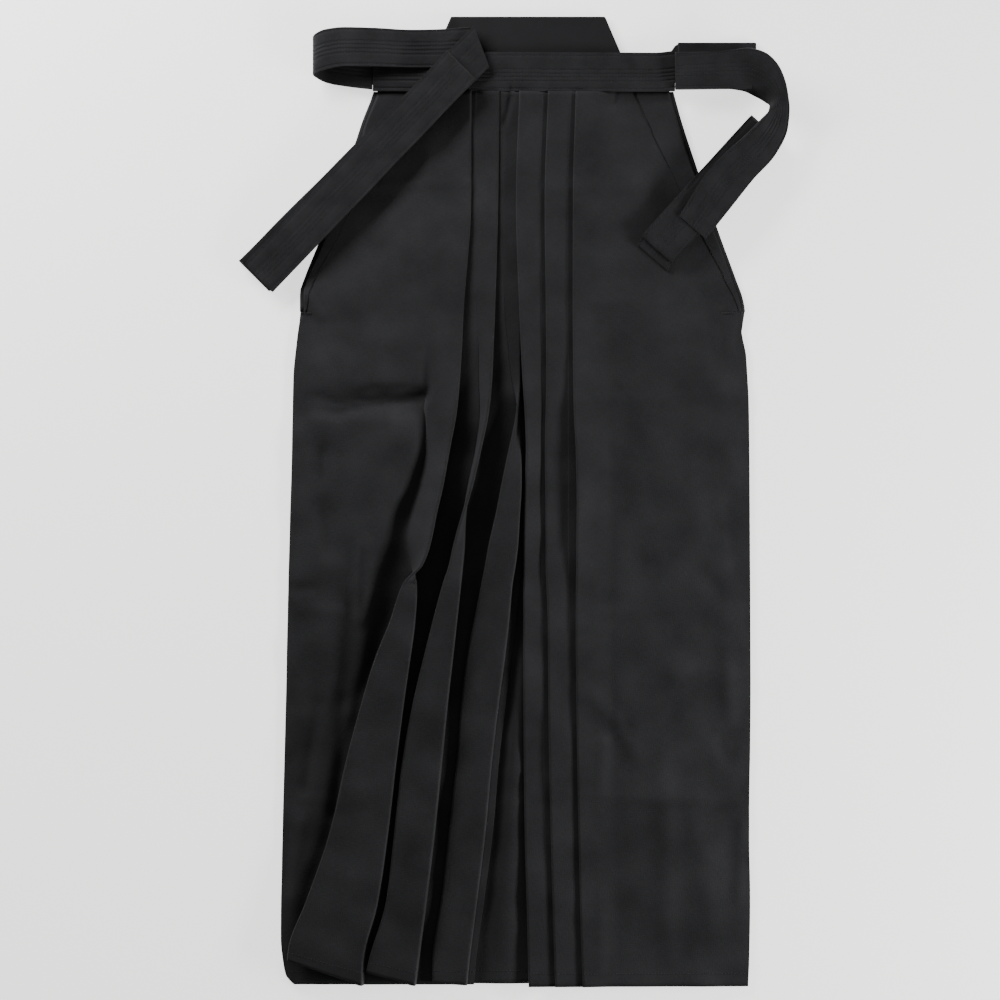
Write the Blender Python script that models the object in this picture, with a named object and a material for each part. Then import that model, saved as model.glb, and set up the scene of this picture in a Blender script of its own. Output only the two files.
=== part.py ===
"""Hakama trousers laid flat, front side up, with their ties folded on top.

Metres, +Z up. The waist points to +Y and the wearer's left leg lies at +X. The tables are in millimetres
and read as a pattern maker reads them: across to the right and down from one corner of the cloth, with
heights above the surface that the garment lies on.
"""

import math

import bmesh
import bpy
import numpy as np

MM = 0.001

# Where the middle of the garment lies, across and down, in the tables' millimetres
MIDDLE_ACROSS = 513.6
MIDDLE_DOWN = 501.5

CLOTH = 1.1
TIE = 1.7
BAND = 3.4
BOARD = 4.6
SEAM = 0.3

# Heights of the middle of each lying layer
BACK_LEVEL = CLOTH / 2
INNER_LEVEL = 2.05
FRONT_LEVEL = 3.6
BAND_LEVEL = 6.9

# A pleat's hem-to-hem build: its own thickness and its height over the cloth it lies on
PLEAT_THICKNESS = 2.2
LAYER_PITCH = 1.6
FOLD_ROUND = 1.1

# A pleat that has fallen over stands up from its root to a knee, then lies back to its crease
FALLEN_REACH = 20.0
FALLEN_ROOT_DROP = 1.9
KNEE_SETBACK = 0.03
CREASE_ABOVE_KNEE = 1.5

WAIST_DOWN = 92.2
SLIT_END_DOWN = 313.0
HEM_DOWN = 984.0

# The garment's own outline on each side: down the slanted side slit, then down the side seam
RIGHT_SIDE_OUTLINE = [
    # down, across
    (91.0, 374.0), (100.0, 371.0), (120.0, 363.0), (147.0, 354.0), (245.0, 318.0), (280.0, 304.0),
    (293.0, 300.0), (313.0, 300.0), (340.0, 297.0), (378.0, 293.4), (460.0, 292.0), (560.0, 289.0),
    (700.0, 286.0), (820.0, 283.0), (940.0, 281.0), (960.0, 283.0), (975.0, 286.0), (984.0, 294.0),
]
LEFT_SIDE_OUTLINE = [
    # down, across
    (91.0, 673.0), (120.0, 681.0), (160.0, 694.0), (231.0, 718.0), (280.0, 736.0), (300.0, 743.0),
    (313.0, 745.0), (330.0, 741.5), (356.0, 746.0), (420.0, 749.0), (560.0, 750.0), (700.0, 750.5),
    (830.0, 749.0), (900.0, 750.0), (960.0, 749.0), (984.0, 748.0),
]

# The wearer's right leg: three pleats that face the middle above and fall open towards the side below.
# For each pleat: where it is rooted, where its crease runs, and how high the crease stands.
RIGHT_PLEATS_COLUMNS = (
    "down", "root1", "crease1", "stand1", "root2", "crease2", "stand2", "root3", "crease3", "stand3", "inner",
)
RIGHT_PLEATS = [
    (93.6, 447.0, 471.0, 8.0, 476.5, 499.0, 7.6, 503.0, 522.0, 6.4, 524.0),
    (200.0, 446.0, 470.8, 9.0, 475.0, 497.8, 8.6, 502.0, 521.0, 6.4, 524.0),
    (313.0, 439.0, 463.2, 10.4, 476.0, 494.6, 10.0, 505.0, 521.0, 6.4, 524.0),
    (345.0, 437.0, 461.8, 11.6, 479.0, 493.2, 11.6, 508.0, 520.5, 6.8, 524.2),
    (380.0, 435.0, 459.6, 13.6, 479.5, 491.6, 13.6, 512.0, 520.5, 7.5, 524.4),
    (410.0, 431.0, 456.8, 15.6, 481.0, 488.4, 16.0, 519.0, 517.5, 13.0, 528.0),
    (450.0, 425.0, 449.5, 17.6, 476.5, 480.2, 19.0, 521.0, 509.0, 15.0, 530.0),
    (486.0, 421.0, 443.0, 19.6, 469.0, 471.8, 21.6, 520.5, 501.5, 16.6, 530.0),
    (512.0, 419.0, 437.0, 21.6, 465.2, 464.0, 23.0, 519.0, 496.5, 17.4, 529.0),
    (545.0, 417.5, 430.0, 24.0, 464.0, 454.0, 23.0, 517.0, 489.0, 17.4, 525.0),
    (583.0, 416.5, 417.0, 26.0, 460.0, 443.5, 21.6, 511.5, 482.0, 15.6, 520.0),
    (620.0, 414.5, 391.0, 24.0, 456.0, 433.5, 20.4, 508.0, 474.5, 13.4, 516.0),
    (660.0, 409.5, 375.0, 22.0, 451.5, 423.5, 19.6, 503.5, 466.5, 11.8, 511.0),
    (700.0, 404.0, 363.0, 20.4, 447.0, 414.0, 19.0, 498.0, 462.0, 10.8, 506.0),
    (760.0, 396.5, 350.0, 19.0, 441.0, 403.0, 18.0, 491.0, 457.0, 10.4, 499.0),
    (830.0, 388.5, 331.0, 18.0, 434.0, 395.0, 17.4, 484.5, 449.5, 10.2, 493.0),
    (900.0, 378.5, 308.0, 17.0, 425.5, 387.0, 17.0, 476.0, 441.5, 10.2, 484.0),
    (960.0, 364.0, 290.0, 16.4, 418.0, 371.5, 16.4, 468.5, 433.0, 10.6, 476.0),
    (984.0, 363.0, 288.0, 16.0, 415.0, 366.5, 16.0, 466.0, 433.0, 11.0, 474.0),
]
# The wide side panel of that leg: a soft crown, then a trough beside the first pleat
RIGHT_CROWN_COLUMNS = ("down", "crown", "crown_height", "trough", "trough_height")
RIGHT_CROWN = [
    (93.6, 400.0, 5.0, 425.0, 6.2), (200.0, 390.0, 5.4, 425.0, 6.6), (313.0, 370.0, 6.5, 420.0, 6.8),
    (380.0, 372.0, 10.5, 422.0, 8.5), (402.0, 378.0, 5.0, 427.0, 5.2), (424.0, 384.0, 13.5, 428.0, 6.2),
    (450.0, 392.0, 15.5, 428.0, 5.4), (486.0, 396.0, 16.5, 422.0, 4.2), (512.0, 387.0, 17.0, 413.0, 4.0),
    (545.0, 378.0, 16.5, 409.0, 4.0), (583.0, 371.0, 15.5, 402.0, 4.0), (620.0, 366.0, 14.0, 386.0, 4.0),
    (660.0, 344.0, 12.5, 359.0, 4.0), (700.0, 340.0, 11.0, 354.0, 4.0), (760.0, 330.0, 9.0, 342.0, 4.0),
    (830.0, 320.0, 7.5, 329.0, 3.9), (900.0, 297.0, 6.0, 306.0, 3.7), (950.0, 289.0, 4.0, 300.0, 3.6),
    (984.0, 300.0, 3.6, 310.0, 3.6),
]
# How far each opened pleat's hem is drawn up at its crease
RIGHT_HEM_DRAWN_UP = {"starts_down": 860.0, "pleat1": 25.0, "pleat2": 13.0, "pleat3": 2.0}

# The wearer's left leg: three pressed pleats that face the middle all the way down
LEFT_PLEATS_COLUMNS = (
    "down", "root1", "crease1", "stand1", "root2", "crease2", "stand2", "root3", "crease3", "stand3", "inner",
)
LEFT_PLEATS = [
    (93.6, 600.0, 576.0, 8.0, 570.5, 548.4, 8.0, 542.0, 519.7, 10.4, 524.6),
    (200.0, 597.5, 573.2, 9.0, 567.5, 545.0, 8.6, 539.5, 516.4, 10.8, 524.6),
    (313.0, 597.0, 573.0, 9.0, 567.5, 546.2, 8.6, 541.0, 519.8, 12.6, 524.6),
    (380.0, 598.0, 573.5, 10.0, 568.0, 546.6, 8.6, 541.5, 523.0, 15.4, 525.4),
    (410.0, 599.0, 574.0, 12.0, 568.0, 546.0, 8.6, 542.0, 525.0, 15.6, 530.0),
    (450.0, 601.0, 576.0, 14.0, 568.0, 545.2, 8.6, 541.5, 526.4, 14.6, 532.0),
    (500.0, 602.0, 577.0, 14.0, 568.0, 545.8, 9.0, 541.0, 524.6, 13.6, 532.0),
    (560.0, 602.0, 576.5, 12.0, 568.0, 546.0, 9.0, 541.0, 523.6, 11.4, 532.0),
    (620.0, 601.0, 576.0, 9.5, 569.0, 548.0, 9.0, 542.0, 523.6, 9.2, 532.0),
    (730.0, 602.0, 577.0, 9.0, 571.0, 549.0, 9.0, 543.0, 524.0, 8.2, 532.0),
    (830.0, 604.0, 578.8, 9.0, 572.5, 551.0, 9.0, 545.0, 525.0, 8.2, 533.0),
    (906.0, 606.0, 580.4, 9.0, 574.0, 553.0, 9.0, 547.0, 527.2, 8.2, 535.0),
    (986.0, 609.0, 583.0, 9.0, 577.0, 555.5, 9.0, 549.5, 529.0, 8.2, 537.0),
]
LEFT_CROWN_COLUMNS = ("down", "crown", "crown_height", "trough", "trough_height")
LEFT_CROWN = [
    (93.6, 655.0, 4.6, 625.0, 6.2),
    (200.0, 665.0, 5.2, 628.0, 6.4),
    (313.0, 690.0, 6.0, 630.0, 6.6),
    (400.0, 690.0, 6.0, 632.0, 6.6),
    (450.0, 690.0, 8.0, 632.0, 7.0),
    (600.0, 690.0, 6.5, 634.0, 6.8),
    (700.0, 695.0, 6.0, 620.0, 9.0),
    (740.0, 692.0, 6.5, 634.0, 7.6),
    (830.0, 690.0, 6.5, 636.0, 6.8),
    (986.0, 690.0, 6.0, 640.0, 6.6),
]

# The layer between the legs, seen beside the third opened pleat
GUSSET_COLUMNS = ("down", "right_edge", "left_edge", "rise")
GUSSET = [
    (432.0, 512.0, 536.0, 0.0), (520.0, 502.0, 545.0, 0.0), (583.0, 494.0, 549.0, 1.4),
    (620.0, 489.0, 550.5, 2.4), (700.0, 478.0, 553.0, 4.2), (830.0, 464.0, 556.0, 5.4),
    (900.0, 456.0, 558.0, 5.4), (983.0, 446.0, 560.0, 3.0),
]
GUSSET_SLACK_FROM = 9.5
GUSSET_SLACK_TO = 531.0

BACK_TOP_DOWN = 91.8
BACK_TOP_RIGHT = 417.0
BACK_TOP_LEFT = 639.0
CENTRE_BACK = 514.5

SLIT_FACING_WIDTH = 15.0
SLIT_FACING_SHOWS = 4.0

BACK_BOARD = {"top": 17.0, "bottom": 91.5, "top_right": 451.0, "top_left": 605.0,
              "bottom_right": 419.0, "bottom_left": 637.0}

WAISTBAND = [
    # across, upper, lower
    (373.0, 52.0, 91.4), (420.0, 52.4, 91.8), (520.0, 53.0, 91.9), (620.0, 53.4, 91.9), (654.0, 53.5, 91.8),
    (674.7, 51.5, 91.4),
]

# A tie that runs free: the two edges of the ribbon and their heights, one row for each turn or twist
RIGHT_TIE_LOOP = [
    # upper across, upper down, lower across, lower down, upper height, lower height
    (372.6, 52.0, 372.6, 90.4, 6.9, 6.9), (345.0, 49.0, 345.0, 87.0, 5.6, 5.6),
    (327.0, 46.0, 327.0, 83.5, 4.6, 4.6), (317.5, 41.5, 317.5, 79.0, 6.6, 6.6),
    (314.0, 38.0, 314.0, 76.0, 11.0, 11.0), (317.5, 34.5, 317.5, 74.0, 15.4, 15.4),
    (327.0, 31.0, 327.0, 71.0, 17.4, 17.4), (345.0, 29.0, 345.0, 68.0, 17.4, 17.4),
    (375.0, 29.6, 375.0, 68.0, 15.6, 15.6), (410.0, 31.0, 410.0, 69.0, 11.6, 11.6),
    (438.0, 30.4, 438.0, 68.5, 10.0, 10.0), (470.0, 28.0, 487.0, 66.0, 9.9, 9.9),
]
LEFT_TIE_TURN = [
    # upper across, upper down, lower across, lower down, upper height, lower height
    (674.6, 56.0, 674.6, 90.0, 13.4, 13.0), (700.0, 54.0, 700.0, 90.0, 13.6, 13.0),
    (722.0, 52.5, 722.0, 90.0, 15.0, 13.0), (745.0, 50.5, 743.0, 91.5, 20.0, 13.0),
    (762.0, 55.0, 756.0, 97.0, 25.0, 9.6), (776.0, 68.0, 765.0, 102.5, 27.0, 7.0),
    (784.5, 88.0, 769.5, 106.5, 23.0, 10.0), (788.46, 109.0, 767.0, 113.0, 15.0, 19.0),
    (787.0, 128.0, 759.0, 122.0, 13.0, 22.0), (775.0, 155.0, 743.0, 138.0, 14.0, 21.0),
    (752.0, 181.0, 721.0, 157.5, 16.0, 18.6), (733.0, 205.0, 702.0, 179.0, 16.8, 17.0),
    (705.0, 240.0, 678.6, 217.0, 16.7, 16.7),
]

# A tie folded to and fro on itself. Each run goes from one end to the other, with a little fanning.
RIGHT_TIE_BUNDLE = {
    "head": (481.0, 47.0), "head_angle": 24.0, "width": 40.0, "runs": 5,
    "near": (460.5, 68.5), "far": (253.3, 274.4), "fan": 0.35, "draw_back": 0.0,
}
RIGHT_BUNDLE_REST = [(0.0, 12.0), (45.0, 12.2), (85.0, 10.8), (120.0, 8.8), (190.0, 7.0), (265.0, 5.8),
                     (312.0, 1.0), (330.0, 1.0)]
LEFT_TIE_BUNDLE = {
    "head": (766.0, 128.0), "head_angle": 0.0, "width": 40.0, "runs": 4,
    "near": (764.0, 131.0), "far": (652.0, 258.0), "fan": -0.3, "draw_back": 4.5,
}
LEFT_BUNDLE_REST = [(0.0, 1.0), (18.0, 1.6), (55.0, 7.0), (110.0, 8.0), (180.0, 8.0)]
LEFT_TIE_START = {
    "head": (675.0, 72.0), "head_angle": 0.0, "width": 37.0, "runs": 3,
    "near": (676.5, 72.0), "far": (752.0, 71.0), "fan": 0.0, "draw_back": 0.0,
}
LEFT_START_REST = [(0.0, 6.6), (10.0, 6.4), (90.0, 6.0)]
TIE_FOLD = 1.1

LEFT_BACK_TIE = {"upper": 43.5, "lower": 83.0, "board_side": "left", "outer": 755.0}
RIGHT_BACK_TIE = {"upper": 47.0, "lower": 85.0, "board_side": "right", "outer": 335.0}
BACK_TIE_LAYERS = 3
BACK_TIE_PITCH = 1.35

CLOTH_COLOR = (0.018, 0.018, 0.020, 1.0)
TIE_COLOR = (0.021, 0.021, 0.023, 1.0)
BOARD_COLOR = (0.014, 0.014, 0.015, 1.0)


def clear_scene():
    for thing in list(bpy.data.objects):
        bpy.data.objects.remove(thing, do_unlink=True)


def matt(name, color, roughness):
    material = bpy.data.materials.new(name)
    material.use_nodes = True
    shader = material.node_tree.nodes["Principled BSDF"]
    shader.inputs["Base Color"].default_value = color
    shader.inputs["Roughness"].default_value = roughness
    return material


def place(across, down, height):
    """A point of the tables as a point in metres."""
    return ((across - MIDDLE_ACROSS) * MM, (MIDDLE_DOWN - down) * MM, height * MM)


def smooth_between(knots, values, at):
    """A smooth curve through the knots that never swings past a value, read at each place."""
    knots = np.asarray(knots, float)
    values = np.asarray(values, float)
    at = np.clip(np.asarray(at, float), knots[0], knots[-1])
    steps = np.diff(knots)
    slopes = np.diff(values) / steps
    leans = np.zeros(len(knots))
    for i in range(1, len(knots) - 1):
        if slopes[i - 1] * slopes[i] > 0:
            leans[i] = 2 * slopes[i - 1] * slopes[i] / (slopes[i - 1] + slopes[i])
    leans[0] = slopes[0]
    leans[-1] = slopes[-1]
    piece = np.clip(np.searchsorted(knots, at, side="right") - 1, 0, len(steps) - 1)
    t = (at - knots[piece]) / steps[piece]
    start = (1 + 2 * t) * (1 - t) ** 2 * values[piece]
    end = t ** 2 * (3 - 2 * t) * values[piece + 1]
    lean_in = t * (1 - t) ** 2 * steps[piece] * leans[piece]
    lean_out = t ** 2 * (t - 1) * steps[piece] * leans[piece + 1]
    return start + lean_in + end + lean_out


def row_at(columns, rows, down):
    """Every column of a table at one place down the garment."""
    downs = [row[0] for row in rows]
    return {
        column: float(smooth_between(downs, [row[i] for row in rows], down))
        for i, column in enumerate(columns)
    }


def outline_at(outline, down):
    return float(smooth_between([row[0] for row in outline], [row[1] for row in outline], down))


def rounded(corners, radius, steps=4):
    """The line through the corners, each corner turned in a short curve."""
    corners = np.asarray(corners, float)
    line = [corners[0]]
    for before, corner, after in zip(corners, corners[1:], corners[2:]):
        back = before - corner
        ahead = after - corner
        room = min(radius, 0.48 * np.linalg.norm(back), 0.48 * np.linalg.norm(ahead))
        start = corner + back / max(np.linalg.norm(back), 1e-9) * room
        end = corner + ahead / max(np.linalg.norm(ahead), 1e-9) * room
        for t in np.linspace(0, 1, steps + 1):
            line.append((1 - t) ** 2 * start + 2 * t * (1 - t) * corner + t ** 2 * end)
    line.append(corners[-1])
    return np.array(line)


def spread_points(line, stops, inner_points, end_step):
    """Points along the line at every stop, a short step either side of it, and evenly between."""
    lengths = np.concatenate([[0], np.cumsum(np.linalg.norm(np.diff(line, axis=0), axis=1))])
    marks = [lengths[int(np.argmin(np.linalg.norm(line - stop, axis=1)))] for stop in stops]
    marks = np.concatenate([[0], np.maximum.accumulate(marks), [lengths[-1]]])
    at = [0.0]
    for start, end, inner in zip(marks, marks[1:], inner_points):
        step = min(end_step, 0.22 * (end - start))
        at += list(np.linspace(start + step, end - step, inner))
        at.append(end)
    return np.stack([np.interp(at, lengths, line[:, k]) for k in range(3)], axis=1)


def pleat_corners(root, crease, stand):
    """The corners of one pleat in section: up its near face, round its crease and down its far face.

    A pleat leans from its root towards its crease, so the cloth before it and after it trade places
    as it stands up and falls over the other way.
    """
    reach = crease - root
    share = min(1.0, max(0.0, -reach / FALLEN_REACH))
    fallen = share * share * (3 - 2 * share)
    half = PLEAT_THICKNESS / 2
    lying = FRONT_LEVEL + LAYER_PITCH + half
    base = np.array([root, lying - FALLEN_ROOT_DROP * fallen])
    tip = np.array([crease, max(stand + CREASE_ABOVE_KNEE * fallen, lying + 0.2)])
    straight = base + 0.3 * (tip - base)
    raised = np.array([root + KNEE_SETBACK * reach, stand])
    knee = straight + (raised - straight) * fallen
    lean = (knee - base) / np.linalg.norm(knee - base)
    side = np.array([-lean[1], lean[0]])
    tip_lean = (tip - knee) / np.linalg.norm(tip - knee)
    tip_side = np.array([-tip_lean[1], tip_lean[0]])
    knee_side = (side + tip_side) / (1 + float(np.dot(side, tip_side)))
    forward = (1 + lean[0]) / 2
    before = half + LAYER_PITCH * max(1 - forward, 0.12)
    after = half + LAYER_PITCH * max(forward, 0.12)
    return {
        "in": base + side * before,
        "near": base + side * half,
        "knee_near": knee + knee_side * half,
        "tip_near": tip + tip_side * half,
        "tip": tip,
        "tip_far": tip - tip_side * half,
        "knee_far": knee - knee_side * half,
        "far": base - side * half,
        "out": base - side * after,
    }


def leg_section(side, down, edge, pleats, crown, drawn_up, inner_points, end_step):
    """One section of a pleated front, from its side seam to its inner edge, with the middle of its wall."""
    slit = down < SLIT_END_DOWN + 10
    edge_height = FRONT_LEVEL if slit else INNER_LEVEL
    corners = [(side * edge, edge_height)]
    corners.append((side * crown["crown"], crown["crown_height"]))
    corners.append((side * crown["trough"], crown["trough_height"]))
    shifts = [0.0, 0.0, 0.0]
    stops = [(corners[1][0], 0.0, corners[1][1]), (corners[2][0], 0.0, corners[2][1])]
    for k in (1, 2, 3):
        pleat = pleat_corners(side * pleats[f"root{k}"], side * pleats[f"crease{k}"], pleats[f"stand{k}"])
        up = drawn_up[k - 1]
        for name in ("in", "near", "knee_near", "tip_near", "tip_far", "knee_far", "far", "out"):
            corners.append(tuple(pleat[name]))
            shifts.append(up if name.startswith("tip") else 0.0)
        middle = (pleat["in"] + pleat["near"]) / 2
        stops.append((middle[0], 0.0, middle[1]))
        stops.append((pleat["knee_near"][0], 0.0, pleat["knee_near"][1]))
        stops.append((pleat["tip"][0], up, pleat["tip"][1]))
        stops.append((pleat["knee_far"][0], 0.0, pleat["knee_far"][1]))
        middle = (pleat["far"] + pleat["out"]) / 2
        stops.append((middle[0], 0.0, middle[1]))
    corners.append((side * pleats["inner"], FRONT_LEVEL))
    shifts.append(0.0)
    points = [(x, up, z) for (x, z), up in zip(corners, shifts)]
    line = rounded(points, FOLD_ROUND)
    line = spread_points(line, [np.array(stop) for stop in stops], inner_points, end_step)
    return [(side * x, down - up, max(z, INNER_LEVEL)) for x, up, z in line]


def new_object(name, bm, material):
    mesh = bpy.data.meshes.new(name)
    bm.to_mesh(mesh)
    bm.free()
    mesh.materials.append(material)
    mesh.shade_smooth()
    thing = bpy.data.objects.new(name, mesh)
    bpy.context.scene.collection.objects.link(thing)
    return thing


def cloth(name, grid, thickness, material):
    """A wall of cloth: a sheet through rows of points, with its thickness half to each side."""
    bm = bmesh.new()
    rows = [[bm.verts.new(place(*point)) for point in row] for row in grid]
    for row, following in zip(rows, rows[1:]):
        for a, b, c, d in zip(row, row[1:], following[1:], following):
            bm.faces.new((a, b, c, d))
    bmesh.ops.recalc_face_normals(bm, faces=bm.faces)
    thing = new_object(name, bm, material)
    wall = thing.modifiers.new("wall", "SOLIDIFY")
    wall.thickness = thickness * MM
    wall.offset = 0.0
    return thing


def drawn_up_at(down):
    start = RIGHT_HEM_DRAWN_UP["starts_down"]
    share = max(0.0, (down - start) / (HEM_DOWN - start)) ** 2
    return [share * RIGHT_HEM_DRAWN_UP[name] for name in ("pleat1", "pleat2", "pleat3")]


def side_edge(outline, down, side):
    """The front's own edge: inside the facing that shows along the slit, on the outline below it."""
    shows = SLIT_FACING_SHOWS * min(1.0, max(0.0, (SLIT_END_DOWN + 12 - down) / 12))
    return outline_at(outline, down) + side * shows


def front_right(material):
    downs = [WAIST_DOWN, 150, 205, 255, 300, 322, 350, 378, 395, 410, 428, 450, 468, 486, 500, 512, 528, 545,
             563, 583, 600, 620, 645, 680, 720, 770, 820, 870, 915, 950, 984]
    grid = []
    for down in downs:
        pleats = row_at(RIGHT_PLEATS_COLUMNS, RIGHT_PLEATS, down)
        crown = row_at(RIGHT_CROWN_COLUMNS, RIGHT_CROWN, down)
        edge = side_edge(RIGHT_SIDE_OUTLINE, down, 1)
        inner_points = (2, 1, 1, 2, 2, 2, 2, 3, 2, 2, 2, 2, 3, 2, 2, 2, 2, 2)
        grid.append(leg_section(1, down, edge, pleats, crown, drawn_up_at(down), inner_points, 1.4))
    return cloth("front_right_panel", grid, CLOTH, material)


def front_left(material):
    downs = [WAIST_DOWN, 150, 205, 255, 300, 322, 350, 380, 410, 450, 500, 560, 620, 680, 720, 780, 850, 920, 986]
    grid = []
    for down in downs:
        pleats = row_at(LEFT_PLEATS_COLUMNS, LEFT_PLEATS, down)
        crown = row_at(LEFT_CROWN_COLUMNS, LEFT_CROWN, down)
        edge = side_edge(LEFT_SIDE_OUTLINE, down, -1)
        inner_points = (2, 1, 1, 2, 2, 2, 2, 3, 2, 2, 2, 2, 3, 2, 2, 2, 2, 2)
        grid.append(leg_section(-1, down, edge, pleats, crown, (0.0, 0.0, 0.0), inner_points, 1.4))
    return cloth("front_left_panel", grid, CLOTH, material)


def back_panel(name, outline, top, centre, material):
    """A back leg, flat on the surface, from the centre back to the side."""
    downs = list(np.linspace(BACK_TOP_DOWN, SLIT_END_DOWN, 4)) + [340, 420, 560, 700, 820, 900, 945, 965, HEM_DOWN - 1]
    grid = []
    for down in downs:
        share = (down - BACK_TOP_DOWN) / (SLIT_END_DOWN - BACK_TOP_DOWN)
        if share < 1:
            edge = top + (outline_at(outline, SLIT_END_DOWN) - top) * share
        else:
            edge = outline_at(outline, down)
        grid.append([(across, down, BACK_LEVEL) for across in np.linspace(edge, centre, 5)])
    return cloth(name, grid, CLOTH, material)


def slit_facing(name, outline, side, material):
    """The narrow facing that finishes a side slit, between the back and the front."""
    grid = []
    for down in np.linspace(WAIST_DOWN + SEAM, SLIT_END_DOWN - 1, 12):
        edge = outline_at(outline, down)
        grid.append([(edge + side * SLIT_FACING_WIDTH * share, down, INNER_LEVEL) for share in (0, 0.5, 1)])
    return cloth(name, grid, CLOTH, material)


def gusset(material):
    """The layer between the legs: flat under both fronts, a little slack where it shows between them."""
    grid = []
    for down in (432, 480, 520, 550, 583, 610, 640, 670, 700, 740, 785, 830, 870, 900, 940, 983):
        row = row_at(GUSSET_COLUMNS, GUSSET, down)
        start = row_at(RIGHT_PLEATS_COLUMNS, RIGHT_PLEATS, down)["root3"] + GUSSET_SLACK_FROM
        line = []
        for across in np.linspace(row["right_edge"], row["left_edge"], 13):
            share = min(1.0, max(0.0, (across - start) / (GUSSET_SLACK_TO - start)))
            line.append((across, down, INNER_LEVEL + row["rise"] * math.sin(math.pi * share) ** 1.5))
        grid.append(line)
    return cloth("crotch_gusset", grid, CLOTH, material)


def plate(name, corners, bottom, top, bevel, material):
    """A flat board or folded pad with the given outline and softened edges."""
    bm = bmesh.new()
    face = bm.faces.new([bm.verts.new(place(across, down, bottom)) for across, down in corners])
    raised = bmesh.ops.extrude_face_region(bm, geom=[face])
    lift = [v for v in raised["geom"] if isinstance(v, bmesh.types.BMVert)]
    bmesh.ops.translate(bm, verts=lift, vec=(0, 0, (top - bottom) * MM))
    bmesh.ops.recalc_face_normals(bm, faces=bm.faces)
    upper = [e for e in bm.edges if all(v.co.z > (top - 0.01) * MM for v in e.verts)]
    upright = [e for e in bm.edges if abs(e.verts[0].co.z - e.verts[1].co.z) > 0.5 * (top - bottom) * MM]
    bmesh.ops.bevel(bm, geom=upper + upright, offset=bevel * MM, segments=2, profile=0.5, affect="EDGES")
    return new_object(name, bm, material)


def back_board(material):
    size = BACK_BOARD
    corners = [
        (size["top_right"], size["top"]), (size["top_left"], size["top"]),
        (size["bottom_left"], size["bottom"]), (size["bottom_right"], size["bottom"]),
    ]
    return plate("koshi_ita_board", corners, 0.0, BOARD, 1.4, material)


def waistband(material):
    grid = []
    for across, upper, lower in WAISTBAND:
        grid.append([(across, down, BAND_LEVEL) for down in np.linspace(upper, lower, 4)])
    return cloth("front_waistband", grid, BAND, material)


def ribbon(name, rows, points_across, material):
    """A free run of tie: a flat ribbon through its rows, smooth between them, with two steps to each."""
    table = np.array(rows)
    upper = table[:, [0, 1, 4]]
    lower = table[:, [2, 3, 5]]
    centre = (upper + lower) / 2
    along = np.concatenate([[0], np.cumsum(np.linalg.norm(np.diff(centre, axis=0), axis=1))])
    places = np.interp(np.linspace(0, len(along) - 1, 2 * len(along) - 1), np.arange(len(along)), along)
    grid = []
    for place_along in places:
        top = np.array([float(smooth_between(along, upper[:, k], place_along)) for k in range(3)])
        bottom = np.array([float(smooth_between(along, lower[:, k], place_along)) for k in range(3)])
        grid.append([tuple(top + (bottom - top) * share) for share in np.linspace(0, 1, points_across)])
    return cloth(name, grid, TIE, material)


def bundle(name, size, rest, points_across, material):
    """A tie folded to and fro in runs, each run on top of the one before."""
    head = np.array(size["head"])
    near = np.array(size["near"])
    far = np.array(size["far"])
    along = (far - near) / np.linalg.norm(far - near)
    across = np.array([along[1], -along[0]])
    rest_at = [row[0] for row in rest]
    rest_height = [row[1] for row in rest]
    span_far = float(np.dot(far - near, along))
    head_at = float(np.dot(head - near, along))
    lean = math.tan(math.radians(size["head_angle"]))
    columns = []
    for share in np.linspace(-0.5, 0.5, points_across):
        sideways = share * size["width"]
        line = []
        for run in range(size["runs"]):
            outward = run % 2 == 0
            far_end = span_far - TIE_FOLD - run * size["draw_back"]
            start = head_at + sideways * lean if run == 0 else 0.0
            begin = start if outward else far_end
            stop = far_end if outward else 0.0
            fan = math.tan(math.radians(size["fan"] * run))
            level = 2 * TIE_FOLD * run
            for place_along in np.linspace(begin, stop, 7):
                line.append((place_along, sideways + place_along * fan, level))
            if run < size["runs"] - 1:
                push = 1 if outward else -1
                for turn in (45, 90, 135):
                    angle = math.radians(turn)
                    line.append((
                        stop + push * TIE_FOLD * math.sin(angle),
                        sideways + stop * fan,
                        level + TIE_FOLD * (1 - math.cos(angle)),
                    ))
        columns.append(line)
    grid = []
    for points in zip(*columns):
        row = []
        for place_along, sideways, level in points:
            spot = near + along * place_along + across * sideways
            floor = float(smooth_between(rest_at, rest_height, place_along - min(head_at, 0.0)))
            row.append((spot[0], spot[1], floor + level))
        grid.append(row)
    return cloth(name, grid, TIE, material)


def board_edge(side, down):
    """Where the board's slanted end lies at one place down it."""
    size = BACK_BOARD
    share = (down - size["top"]) / (size["bottom"] - size["top"])
    return size[f"top_{side}"] + (size[f"bottom_{side}"] - size[f"top_{side}"]) * share


def back_tie(name, size, material):
    """A back tie, folded flat in layers on the surface, from the board's slanted end outwards."""
    direction = 1 if size["board_side"] == "left" else -1
    half = BACK_TIE_PITCH / 2
    columns = []
    for down in np.linspace(size["upper"], size["lower"], 3):
        inner = board_edge(size["board_side"], down) + direction * (SEAM + BACK_TIE_PITCH)
        out = np.linspace(inner, size["outer"], 5)
        line = []
        for layer in range(BACK_TIE_LAYERS):
            outward = layer % 2 == 0
            run = out if outward else out[::-1]
            level = BACK_LEVEL + layer * BACK_TIE_PITCH
            line += [(across, down, level) for across in run]
            if layer < BACK_TIE_LAYERS - 1:
                push = direction if outward else -direction
                for turn in (60, 120):
                    angle = math.radians(turn)
                    line.append((run[-1] + push * half * math.sin(angle), down, level + half * (1 - math.cos(angle))))
        columns.append(line)
    return cloth(name, list(zip(*columns)), BACK_TIE_PITCH - SEAM, material)


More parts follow.
